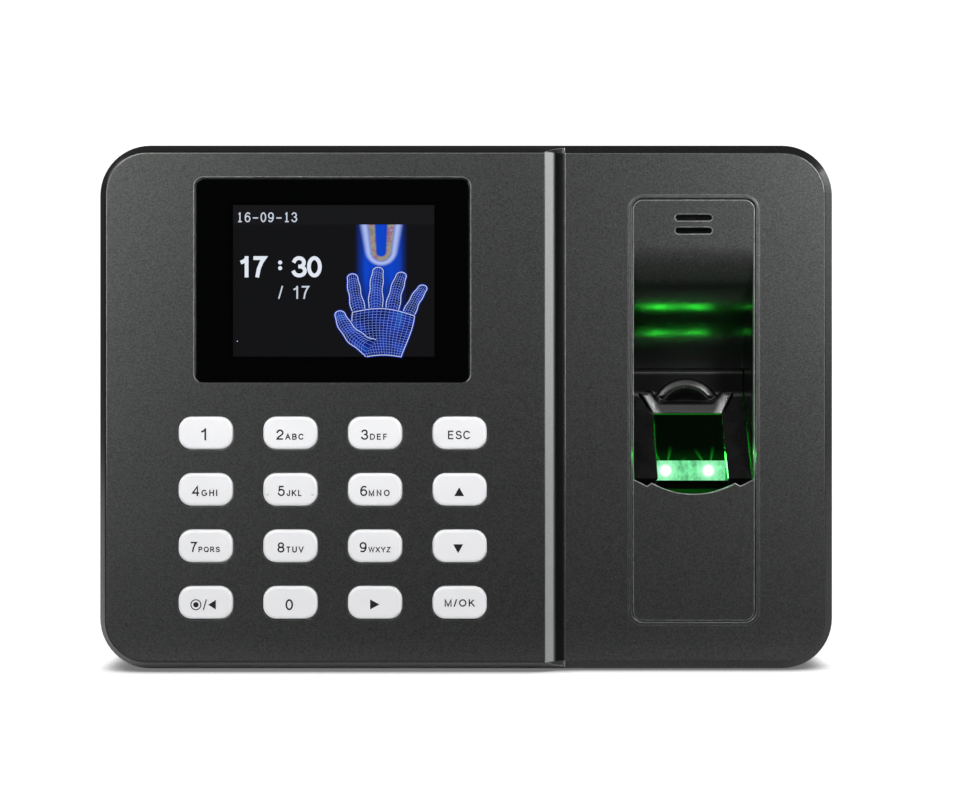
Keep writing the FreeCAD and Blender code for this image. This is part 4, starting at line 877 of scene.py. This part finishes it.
# ------------------------------------------------------------------ what the display shows
LIT_LEFT, LIT_RIGHT = -55.45, -7.55
LIT_BOTTOM, LIT_TOP = 12.0, 48.05
HEADER_BOTTOM = 43.45
SCREEN_THICK = 0.01
PICTURE_Y = SCREEN_Y - 0.025        # back of the header and the beam
TEXT_Y = SCREEN_Y - 0.05            # back of the lettering


def emitter(name, colour, strength=1.0):
    """Lit colour under a screen of fine upright lines."""
    line_pitch = 0.153
    net = material_net(name)
    x = net.split(net.coord())[0]
    wave = net.calc("SINE", net.mul(x, math.pi / (line_pitch * MM)))
    lines = net.between(net.calc("ABSOLUTE", wave), strength * 0.86, strength * 1.06)
    return net.finish(net.emission(colour, lines))


def screen_piece(name, mesh, material):
    return add_object(name, mesh, material, "housing")


def screen_text(*measures):
    return letters(*measures, TEXT_Y, SCREEN_THICK)


def screen_dot(x, z, radius, count):
    return prism_mesh(circle(x, z, radius, count), TEXT_Y, SCREEN_THICK)


panel_light = emitter("screen_black", (0.0088, 0.0088, 0.0098))
header_light = emitter("screen_header", (0.0118, 0.0118, 0.0130))
white_light = emitter("screen_white", (0.88, 0.92, 1.0), strength=1.05)
pale_light = emitter("screen_pale", (0.72, 0.77, 0.88))

border = rect(glass_lo.x / MM + 0.05, glass_hi.x / MM - 0.05,
              glass_lo.z / MM + 0.05, glass_hi.z / MM - 0.05)
screen_piece("screen_border", prism_mesh(border, SCREEN_Y - 0.004, 0.003),
             emitter("screen_off", (0.0012, 0.0012, 0.0014)))
screen_piece("screen_area", prism_mesh(rect(LIT_LEFT, LIT_RIGHT, LIT_BOTTOM, LIT_TOP),
                                       SCREEN_Y - 0.01, SCREEN_THICK), panel_light)
screen_piece("screen_header", prism_mesh(rect(LIT_LEFT, LIT_RIGHT, HEADER_BOTTOM, LIT_TOP),
                                         PICTURE_Y, SCREEN_THICK), header_light)

# Lettering: text, height, weight, width, left, base, stretch
screen_piece("screen_date", screen_text("!6-09-!3", 2.36, 0.125, 14.3, -54.49, 43.98, 0.92),
             pale_light)
screen_piece("screen_time", join_meshes([
    screen_text("17", 5.05, 0.180, 6.6, -54.1, 30.85, 1.10),
    screen_dot(-44.25, 34.40, radius=0.48, count=24),
    screen_dot(-44.25, 33.05, radius=0.48, count=24),
    screen_text("30", 5.05, 0.180, 7.2, -41.5, 30.85, 1.12)]), white_light)
screen_piece("screen_day", join_meshes([
    screen_text("17", 3.07, 0.125, 3.95, -41.25, 25.75, 1.05),
    screen_text("/", 3.07, 0.11, 0, -44.7, 25.75, 0.95),
    screen_dot(-54.44, 15.65, radius=0.14, count=12)]), pale_light)


def beam_material():
    """A soft upright beam of light with a glowing lobe at its top."""
    net = material_net("screen_beam")
    x, _, z = net.split(net.coord())
    across = net.away(x, -20.2)
    streaks = net.mapping(net.coord(), scale=(1, 1, 0.02))
    beam = net.mul(net.fade(across, 3.2, 6.4), net.rise(z, 24.0, 33.0, first=0.35),
                   net.mottle(streaks, cell(0.7), low=0.75, high=1.2))
    colour = net.mix(beam, (0.0088, 0.0088, 0.011), (0.006, 0.070, 0.66))
    # lobe: distance to a tapering capsule that hangs from the top edge
    taper = net.remap(z, (33.6 * MM, 43.3 * MM), (0.72, 1.10))
    below_capsule = net.most(net.calc("SUBTRACT", 36.9 * MM, z), 0.0)
    distance = net.calc("DIVIDE", net.hypot(across, below_capsule), taper)
    rim = net.mul(net.rise(distance, 2.5, 3.5), net.fade(distance, 3.6, 5.0))
    band = net.mul(net.rise(distance, 1.1, 1.7), net.fade(distance, 2.5, 3.2))
    warm = net.ramp(net.noise(net.coord(), cell(1.9)),
                    [(0.30, (0.30, 0.27, 0.12)), (0.50, (0.46, 0.42, 0.20)),
                     (0.64, (0.42, 0.16, 0.16)), (0.78, (0.60, 0.58, 0.66))])
    colour = net.mix(net.mul(band, 0.85), colour, warm)
    colour = net.mix(net.mul(rim, 0.95), colour, (0.50, 0.60, 1.0))
    return net.finish(net.emission(colour, 1.0))


screen_piece("screen_beam", prism_mesh(rect(-27.6, -12.4, 22.0, 43.42), PICTURE_Y,
                                       SCREEN_THICK), beam_material())


# ------------------------------------------------------------------ wire-frame picture of a hand
HAND_X, WRIST_Z = -20.4, 11.95      # the point the picture is scaled about
HAND_WIDEN, HAND_FLATTEN = 1.10, 0.87
HAND_Y = SCREEN_Y - 0.045           # rearmost layer of the picture
HAND_STEP = 0.03                    # each part of the hand lies this far before the last
FINGER_STEPS = 34
PALM_STEPS = 30
# name, then (x, z) of base, bend and tip, then radius at base and tip
FINGERS = [
    ("picture_little", (-15.1, 21.0), (-13.6, 26.5), (-11.3, 30.6), 1.42, 1.05),
    ("picture_ring", (-18.1, 22.4), (-17.6, 28.5), (-15.9, 34.0), 1.58, 1.18),
    ("picture_middle", (-21.3, 22.8), (-21.6, 29.5), (-20.9, 35.3), 1.64, 1.22),
    ("picture_index", (-24.5, 22.0), (-25.9, 28.0), (-26.4, 33.5), 1.60, 1.20),
]
THUMB = ("picture_thumb", (-22.6, 14.6), (-27.6, 17.6), (-29.1, 23.4), 2.25, 1.18)


def fill_material():
    net = material_net("screen_wire_fill")
    colour = net.ramp(net.noise(net.coord(), cell(3.2)),
                      [(0.34, (0.004, 0.008, 0.07)), (0.48, (0.008, 0.020, 0.26)),
                       (0.60, (0.010, 0.045, 0.50)), (0.72, (0.02, 0.14, 0.55))])
    return net.finish(net.emission(colour, 0.8))


outline_light = emitter("screen_wire_outline", (0.66, 0.74, 1.0), strength=1.1)
glow_light = emitter("screen_wire_glow", (0.012, 0.035, 0.42), strength=0.9)
mesh_light = emitter("screen_wire_mesh", (0.24, 0.36, 0.95))
fill_light = fill_material()


def finger_part(name, base, bend, tip, base_radius, tip_radius):
    """Name, outline and inner lines of a finger: a bent capsule drawn as rings and long lines."""
    steps = FINGER_STEPS
    spine, widths = [], []
    for i in range(steps + 1):
        t = i / steps
        spine.append(tuple((1 - t) ** 2 * base[k] + 2 * t * (1 - t) * bend[k] + t * t * tip[k]
                           for k in (0, 1)))
        knuckle = 1 + 0.07 * math.cos(2 * math.pi * t * 2.6)
        widths.append((base_radius + (tip_radius - base_radius) * t) * knuckle)
    tangents = []
    for i in range(steps + 1):
        (ax, az), (bx, bz) = spine[max(i - 1, 0)], spine[min(i + 1, steps)]
        length = math.hypot(bx - ax, bz - az)
        tangents.append(((bx - ax) / length, (bz - az) / length))

    def place(i, across, along=0.0):
        """Point beside the spine at step i; both distances are shares of the half width."""
        tx, tz = tangents[i]
        return (spine[i][0] + (across * -tz + along * tx) * widths[i],
                spine[i][1] + (across * tx + along * tz) * widths[i])

    cap = [place(steps, -math.cos(math.pi * j / 14), math.sin(math.pi * j / 14))
           for j in range(1, 14)]
    outline = ([place(i, -1) for i in range(steps + 1)] + cap
               + [place(i, 1) for i in range(steps, -1, -1)])
    shares = [-1 + j / 6 for j in range(13)]
    lines = [[place(i, u, (1 - u * u) * 0.45) for u in shares] for i in range(2, steps, 2)]
    for u in (-0.62, -0.22, 0.22, 0.62):
        lines.append([place(i, u) for i in range(steps + 1)]
                     + [place(steps, u, math.sqrt(1 - u * u) * 0.9)])
    return name, outline, lines


def palm_point(u, v):
    """Palm patch: u across from thumb side to little-finger side, v up from the wrist."""
    left = -23.6 - 2.7 * math.sin(math.pi * min(v * 0.62, 1.0)) - 0.3 * v
    right = -15.9 + 2.9 * math.sin(math.pi * 0.5 * v) * (0.7 + 0.3 * v)
    bottom = WRIST_Z + 0.5 * math.sin(math.pi * u)
    top = 24.1 + 1.5 * math.sin(math.pi * u) - 1.0 * u
    swirl = 0.55 * math.sin(math.pi * u) * math.sin(math.pi * v)
    return (left + (right - left) * u - swirl * (u - 0.3),
            bottom + (top - bottom) * v + swirl * (0.5 - v) * 1.4)


def palm_part():
    steps = PALM_STEPS
    outline = ([palm_point(0, j / steps) for j in range(steps + 1)]
               + [palm_point(i / steps, 1) for i in range(1, steps + 1)]
               + [palm_point(1, 1 - j / steps) for j in range(1, steps + 1)]
               + [palm_point(1 - i / steps, 0) for i in range(1, steps)])
    lines = [[palm_point(i / 15, j / steps) for j in range(steps + 1)] for i in range(1, 15)]
    lines += [[palm_point(i / steps, j / 17) for i in range(steps + 1)] for j in range(1, 17)]
    return "picture_palm", outline, lines


def fitted(points):
    return [(HAND_X + (x - HAND_X) * HAND_WIDEN, WRIST_Z + (z - WRIST_Z) * HAND_FLATTEN)
            for x, z in points]


def picture_layer(name, outline, lines, y):
    outline = fitted(outline)
    lines = [fitted(line) for line in lines]
    screen_piece(name + "_fill", prism_mesh(outline, y, 0.006), fill_light)
    # suffix, lines to draw, line width, back of the lines, material
    for suffix, drawn, width, back, light in (
            ("_glow", [outline], 0.62, y + 0.008, glow_light),
            ("_mesh", lines, 0.075, y - 0.009, mesh_light),
            ("_outline", [outline], 0.17, y - 0.018, outline_light)):
        bm = bmesh.new()
        for line in drawn:
            ribbon(bm, line, width, back)
        screen_piece(name + suffix, to_mesh(bm, recalc=False), light)


hand_parts = [finger_part(*row) for row in FINGERS] + [palm_part(), finger_part(*THUMB)]
for i, (name, outline, lines) in enumerate(hand_parts):
    picture_layer(name, outline, lines, HAND_Y - HAND_STEP * i)


# ------------------------------------------------------------------ finger guide
# Here x runs from the sensor's centre line.
PANEL_Y = -36.0
GUIDE_THICK = 1.6
GUIDE_HALF_WIDTH = 14.0
GUIDE_BOTTOM, GUIDE_TOP = -19.9, 9.2
LIP_Z, LIP_DEPTH = -17.0, 3.6       # crest of the lip, and its depth behind the panel
INCLINE = 0.688                     # gain in depth per mm of height
OPEN_HALF_WIDTH = 8.45              # opening for the prism
OPEN_BOTTOM, OPEN_TOP = -17.66, -1.6
ARCH_Z = -1.66                      # the arched rim is centred here
ARCH_RADIUS = 6.5
# Left half of the collar's outline over the prism: x, z
COLLAR_LEFT = [(-8.45, -1.85), (-11.1, 2.95), (-8.9, 3.6), (-7.85, 2.6), (-6.35, 1.16)]
COLLAR = COLLAR_LEFT + [(-x, z) for x, z in reversed(COLLAR_LEFT)]


def smoothstep(start, end, value):
    t = max(0.0, min(1.0, (value - start) / (end - start)))
    return t * t * (3 - 2 * t)


def outline_distance(x, z, outline):
    """Signed distance to an outline, negative inside."""
    nearest, inside = 1e9, False
    for i, (ax, az) in enumerate(outline):
        bx, bz = outline[(i + 1) % len(outline)]
        ex, ez = bx - ax, bz - az
        t = max(0.0, min(1.0, ((x - ax) * ex + (z - az) * ez) / (ex * ex + ez * ez)))
        nearest = min(nearest, math.hypot(x - ax - ex * t, z - az - ez * t))
        if (az > z) != (bz > z) and x < ex * (z - az) / ez + ax:
            inside = not inside
    return -nearest if inside else nearest


def incline_depth(side, z):
    """Lip, incline and upper wall, before the collar and the arch; side is |x|."""
    if z < LIP_Z:
        depth = LIP_DEPTH + (LIP_Z - z) * 1.017
        depth += 3.2 * smoothstep(8.9, 8.3, side) * smoothstep(LIP_Z, -18.0, z)
    elif z < 2.2:
        depth = LIP_DEPTH + (z - LIP_Z) * INCLINE
    elif z < 3.6:
        t = z - 2.2
        depth = 16.81 + INCLINE * t - 0.246 * t * t
    else:
        depth = 17.29
    # the incline dips slightly towards the fingertip's path
    depth += (0.5 * smoothstep(13.5, 8.6, side) * smoothstep(LIP_Z, -12.0, z)
              * smoothstep(4.0, 0.0, z))
    # its top edge is rounded over
    t = max(0.0, min(0.96, (z - 8.25) / 0.95))
    return depth + (1 - math.sqrt(1 - t * t)) * 1.0


def guide_depth(x, z):
    """Depth of the guide's surface behind the front panel."""
    side = abs(x)
    depth = incline_depth(side, z)
    # collar: a flatter facet that turns up into an ear on each side, its outer edges rolled over
    edge = outline_distance(x, z, COLLAR)
    facet = 14.30 + (z + 1.6) * (0.38 - 0.08 * smoothstep(7.2, 8.6, side))
    roll = max(0.0, min(1.0, (edge + 0.7) / 0.7))
    facet += 0.25 * roll * roll
    share = 1.0 - smoothstep(-0.15, 0.55, edge)
    depth += (min(facet, depth) - depth) * share
    # arched rim: the inner slope looks into the fingertip pocket, the outer falls to the wall
    if z > -0.4:
        radius = math.hypot(x, z - ARCH_Z)
        pocket = 17.75 - 1.45 * smoothstep(3.3, 6.55, radius)
        share = smoothstep(6.65, 6.45, radius) * smoothstep(0.75, 1.5, z)
        depth += (pocket - depth) * share
        t = max(0.0, radius - ARCH_RADIUS)
        fall = 0.17 * t * t if t < 1.0 else 0.17 + 0.36 * (t - 1.0)
        rim = 16.30 + fall + 0.35 * smoothstep(8.2, 9.0, radius)
        share = (smoothstep(6.45, 6.65, radius) * smoothstep(9.2, 8.6, radius)
                 * smoothstep(1.3, 2.9, z))
        depth += (min(rim, depth) - depth) * share
    return depth


def grid_lines(start, end, steps, extra):
    """Evenly spaced grid lines, plus extra ones where the surface breaks."""
    even = {round(start + (end - start) * i / steps, 4) for i in range(steps + 1)}
    return sorted(even | set(extra))


def build_guide():
    xs = grid_lines(-GUIDE_HALF_WIDTH, GUIDE_HALF_WIDTH, 150,
                    [side * x for x in (OPEN_HALF_WIDTH, 8.35, 8.6) for side in (-1, 1)])
    zs = grid_lines(GUIDE_BOTTOM, GUIDE_TOP, 156, [OPEN_BOTTOM, OPEN_TOP, LIP_Z, 2.9, 1.16])
    bm = bmesh.new()
    front, back = {}, {}
    for i, x in enumerate(xs):
        for j, z in enumerate(zs):
            y = PANEL_Y + guide_depth(x, z)
            for verts, depth in ((front, y), (back, y + GUIDE_THICK)):
                verts[i, j] = bm.verts.new(((SENSOR_X + x) * MM, depth * MM, z * MM))

    columns, rows = len(xs) - 1, len(zs) - 1

    def is_solid(i, j):
        if not (0 <= i < columns and 0 <= j < rows):
            return False
        x = (xs[i] + xs[i + 1]) / 2
        z = (zs[j] + zs[j + 1]) / 2
        return not (abs(x) < OPEN_HALF_WIDTH and OPEN_BOTTOM < z < OPEN_TOP)

    for i in range(columns):
        for j in range(rows):
            if not is_solid(i, j):
                continue
            corners = [(i, j), (i + 1, j), (i + 1, j + 1), (i, j + 1)]
            bm.faces.new([front[c] for c in corners])
            bm.faces.new([back[corners[k]] for k in (0, 3, 2, 1)])
            # neighbour's step, then the corners of the shared side
            for di, dj, a, b in ((-1, 0, 0, 3), (1, 0, 2, 1), (0, -1, 1, 0), (0, 1, 3, 2)):
                if not is_solid(i + di, j + dj):
                    a, b = corners[a], corners[b]
                    bm.faces.new((front[a], front[b], back[b], back[a]))
    loose = [vert for vert in bm.verts if not vert.link_faces]
    bmesh.ops.delete(bm, geom=loose, context="VERTS")
    for face in bm.faces:
        face.smooth = True
    return to_mesh(bm)


def guide_material():
    """Semi-gloss black moulding; the ears and the arched rim are painted a satin grey as a painted
    highlight, and the lip, the pocket and the wall above the arch are painted darker as painted
    shade.
    """
    net = material_net("finger_guide")
    coord = net.coord()
    value = net.mottle(coord, scale=90.0, low=0.85, high=1.15, detail=4.0)
    base = net.tint((0.0035, 0.0037, 0.0036), value)
    normal = net.bump(net.noise(coord, cell(0.35), detail=3.0), strength=0.20, depth=0.012)
    rough = net.mottle(coord, scale=260.0, low=0.24, high=0.33, detail=4.0)
    x, _, z = net.split(coord)
    side = net.away(x, SENSOR_X)
    radius = net.hypot(side, net.add(z, -ARCH_Z * MM))
    # the lip, the pocket and the wall above the arch are dull, so they don't mirror the lamps, and
    # painted darker as painted shade
    lip = net.fade(z, -17.2, -16.8)
    pocket = net.mul(net.rise(z, 0.9, 1.6), net.fade(radius, 6.2, 6.7))
    wall = net.mul(net.rise(z, 3.3, 4.0), net.fade(z, 7.7, 8.6), net.rise(radius, 7.9, 8.7))
    dull_and_shaded = net.most(lip, pocket, wall)
    # ears and rim get a painted highlight; inward is the distance from the collar's slanting side
    inward = net.calc("DIVIDE", net.add(net.mul(net.offset(side, 8.45), -4.8),
                                        net.mul(net.add(z, 1.85 * MM), 2.65)), 5.483)
    ear = net.mul(net.mul(net.rise(inward, 0.05, 0.45), net.fade(inward, 1.0, 2.4)),
                  net.mul(net.rise(z, -1.9, -1.5), net.fade(z, 3.2, 3.7)),
                  net.fade(side, 11.3, 11.8))
    rim = net.mul(net.mul(net.rise(radius, 6.5, 7.3, last=0.02), net.fade(radius, 7.6, 8.7)),
                  net.mul(net.rise(z, 2.0, 4.0), net.rise(side, 3.0, 6.5, 1.0, 0.15)))
    rim_and_ear_highlight = net.most(ear, rim)
    base = net.mix(dull_and_shaded, base, (0.0016, 0.0017, 0.0016))
    base = net.mix(rim_and_ear_highlight, base, (0.21, 0.212, 0.21))
    return net.paint(Base_Color=base, Roughness=net.add(rough, net.mul(dull_and_shaded, 0.25)),
                     Normal=normal, Metallic=net.mul(rim_and_ear_highlight, 0.8),
                     Specular_IOR_Level=net.between(dull_and_shaded, 0.42, 0.08))


guide = add_object("finger_guide", build_guide(), guide_material(), "housing")
split_edges(guide, 62)
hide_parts("sensor_housing")


# ------------------------------------------------------------------ lit prism and emitters
LED_XS, LED_Z = (SENSOR_X - 6.15, SENSOR_X + 4.15), -15.35
HOOD_XS, HOOD_Z = (SENSOR_X - 3.6, SENSOR_X + 6.4), -12.2
HOOD_SPOT, HOOD_STRIP = 290.0, 50.0     # strengths of the unseen light towards the hood


def prism_material():
    """Dark optical block whose lower face glows green, brightest where the emitters sit."""
    net = material_net("prism_lit")
    coord = net.coord()
    x, y, z = net.split(coord)
    front = net.calc("LESS_THAN", y, prism_lo.y + 0.02 * MM)
    uneven = net.mottle(net.mapping(coord, scale=(1, 1, 0.6)), cell(0.9), low=0.55, high=1.25,
                        detail=3.0)
    strip = net.tint((0.20, 0.82, 0.36), uneven)
    cores, halos, rays = [], [], []
    for led_x in LED_XS:
        dx, dz = net.offset(x, led_x), net.offset(z, LED_Z)
        distance = net.hypot(dx, dz)
        cores.append(net.fade(distance, 0.85, 1.75))
        halos.append(net.fade(distance, 1.2, 3.6))
        # eight narrow rays, turned a little off the axes
        angle = net.add(net.calc("ARCTAN2", dz, dx), 0.25)
        wave = net.calc("ABSOLUTE", net.calc("COSINE", net.mul(angle, 4.0)))
        rays.append(net.mul(net.calc("POWER", wave, 26.0), net.fade(distance, 1.2, 6.4)))
    strip = net.mix(net.mul(net.most(*halos), 0.8), strip, (0.42, 1.1, 0.60))
    strip = net.mix(net.most(*cores), strip, (1.3, 1.9, 1.45))
    camera_ray = net.node("LightPath").outputs["Is Camera Ray"]
    lower_face = net.emission(strip, net.between(camera_ray, 14.0, 1.0))
    # light leaving the foot of the upper face, seen only as reflections and glow
    spots = [net.fade(net.hypot(net.offset(x, spot_x), net.offset(z, HOOD_Z)), 0.2, 2.3)
             for spot_x in HOOD_XS]
    foot = net.fade(z, -12.9, -10.6)
    hood = net.add(net.mul(net.most(*spots), HOOD_SPOT), net.mul(foot, HOOD_STRIP))
    # upper face: almost black, with faint rays, a green glow at its foot and a lit top edge
    foot_glow = net.mul(net.calc("POWER", net.fade(z, -13.0, -9.0), 2.0), 0.018)
    top_edge = net.remap(z, (prism_hi.z - 0.42 * MM, prism_hi.z - 0.1 * MM), (0.0, 0.16),
                         smooth=True)
    glow = net.add(net.mul(net.most(*rays), 0.30), foot_glow, top_edge,
                   net.mul(hood, net.invert(camera_ray)))
    upper_face = net.principled(Base_Color=(0.0005, 0.0025, 0.0008), Roughness=0.06, IOR=1.5,
                                Emission_Color=(0.036, 1.0, 0.05), Emission_Strength=glow,
                                Specular_IOR_Level=0.18)
    return net.finish(net.mix_shader(front, upper_face, lower_face))


def led_material():
    net = material_net("led_lit")
    strength = net.mottle(net.coord(), cell(0.5), low=20.0, high=32.0)
    return net.finish(net.emission((0.08, 1.0, 0.22), strength))


set_material(nodes["sensor_prism"].data, prism_material())
set_material(nodes["sensor_leds"].data, led_material())


# ------------------------------------------------------------------ studio (sizes in metres)
def floor_material():
    """White to the camera, with a painted contact shadow darkening it at the contact; its light is
    paler behind than in front.
    """
    net = material_net("studio_floor")
    camera_ray = net.node("LightPath").outputs["Is Camera Ray"]
    coord = net.coord()
    y = net.split(coord)[1]
    felt = net.mix(net.remap(y, (-0.10, -0.02), (0.0, 1.0), smooth=True),
                   (0.03, 0.03, 0.03), (0.50, 0.50, 0.50))
    diffuse = net.node("BsdfDiffuse", {"Color": felt}).outputs[0]
    openness = net.node("AmbientOcclusion", {"Distance": 8.0 * MM}, samples=8).outputs["AO"]
    # painted contact shadow, darker where the floor is hemmed in
    shade = net.mul(net.remap(openness, (0.30, 0.86), (0.16, 1.0), smooth=True),
                    net.mottle(coord, scale=9.0, low=1.10, high=1.14, detail=3.0))
    paper = net.node("Emission", {"Strength": shade}).outputs[0]
    return net.finish(net.mix_shader(camera_ray, diffuse, paper))


def build_floor():
    z = cad_lo.z - 0.0002
    corners = [(-3, -1.6, z), (3, -1.6, z), (3, 3, z), (-3, 3, z)]
    material = floor_material()
    mesh = bpy.data.meshes.new("floor")
    mesh.from_pydata([Vector(corner) for corner in corners], [], [(0, 1, 2, 3)])
    mesh.materials.append(material)
    floor = bpy.data.objects.new("floor", mesh)
    scene.collection.objects.link(floor)


def build_world():
    """White to the camera; the camera's side of the room is dark and the far side dim grey."""
    world = bpy.data.worlds.new("studio")
    scene.world = world
    net = ShaderNet(world)
    y = net.split(net.coord("Generated"))[1]
    ray = net.node("LightPath").outputs
    room = net.mul(net.remap(y, (-0.75, 0.25), (0.008, 0.11), smooth=True),
                   net.between(ray["Is Glossy Ray"], 1.0, 0.5))
    far_glow = net.remap(y, (0.0, 0.6), (0.0, 0.20), smooth=True)
    room = net.add(room, net.mul(ray["Is Diffuse Ray"], far_glow))
    surroundings = net.node("Background", {"Strength": room}).outputs[0]
    backdrop = net.node("Background", {"Color": (1, 1, 1), "Strength": 1.15}).outputs[0]
    net.finish(net.mix_shader(ray["Is Camera Ray"], surroundings, backdrop), "OutputWorld")


LIGHT_TARGET = (0, -0.03, 0)
# name, degrees right of the camera, degrees above it, distance, width, height, watts
LIGHTS = [
    ("top_front", -8, 42, 0.8, 0.6, 0.24, 0.88),
    ("top_low", -6, 29, 0.8, 0.54, 0.15, 0.62),
    ("left_high", -30, 28, 0.8, 0.235, 0.235, 2.35),
    ("left_low", -29, 4, 1.2, 0.25, 0.45, 3.6),
    ("right_high", 32, 21, 0.8, 0.20, 0.235, 3.1),
    ("right_low", 31, 5, 1.2, 0.25, 0.45, 2.2),
    ("back_fill", 160, -2, 1.2, 0.7, 0.7, 7.5),
    ("side_right", 106, 18, 1.2, 0.25, 0.6, 3.0),
    ("side_left", -98, 36, 1.2, 0.25, 0.5, 2.2),
]


def softbox(name, azimuth, elevation, distance, width, height, power):
    light = bpy.data.lights.new(name, "AREA")
    light.shape = "RECTANGLE"
    light.size = width
    light.size_y = height
    light.energy = power
    light.spread = math.radians(180)
    lamp = bpy.data.objects.new(name, light)
    scene.collection.objects.link(lamp)
    turn, lift = math.radians(azimuth), math.radians(elevation)
    x, y, z = LIGHT_TARGET
    lamp.location = (x + distance * math.sin(turn) * math.cos(lift),
                     y - distance * math.cos(turn) * math.cos(lift),
                     z + distance * math.sin(lift))
    aim = Vector(LIGHT_TARGET) - lamp.location
    lamp.rotation_euler = aim.to_track_quat("-Z", "Y").to_euler()


def build_camera():
    lens = bpy.data.cameras.new("camera")
    lens.lens = 60.67
    lens.sensor_width = 36.0
    lens.clip_start = 0.01
    camera = bpy.data.objects.new("camera", lens)
    scene.collection.objects.link(camera)
    camera.location = (0.00260, -0.416, 0.00167)
    camera.rotation_euler = (math.radians(90), 0, 0)
    scene.camera = camera


build_floor()
build_world()
for row in LIGHTS:
    softbox(*row)
build_camera()
scene.view_settings.view_transform = "Standard"
scene.view_settings.look = "None"
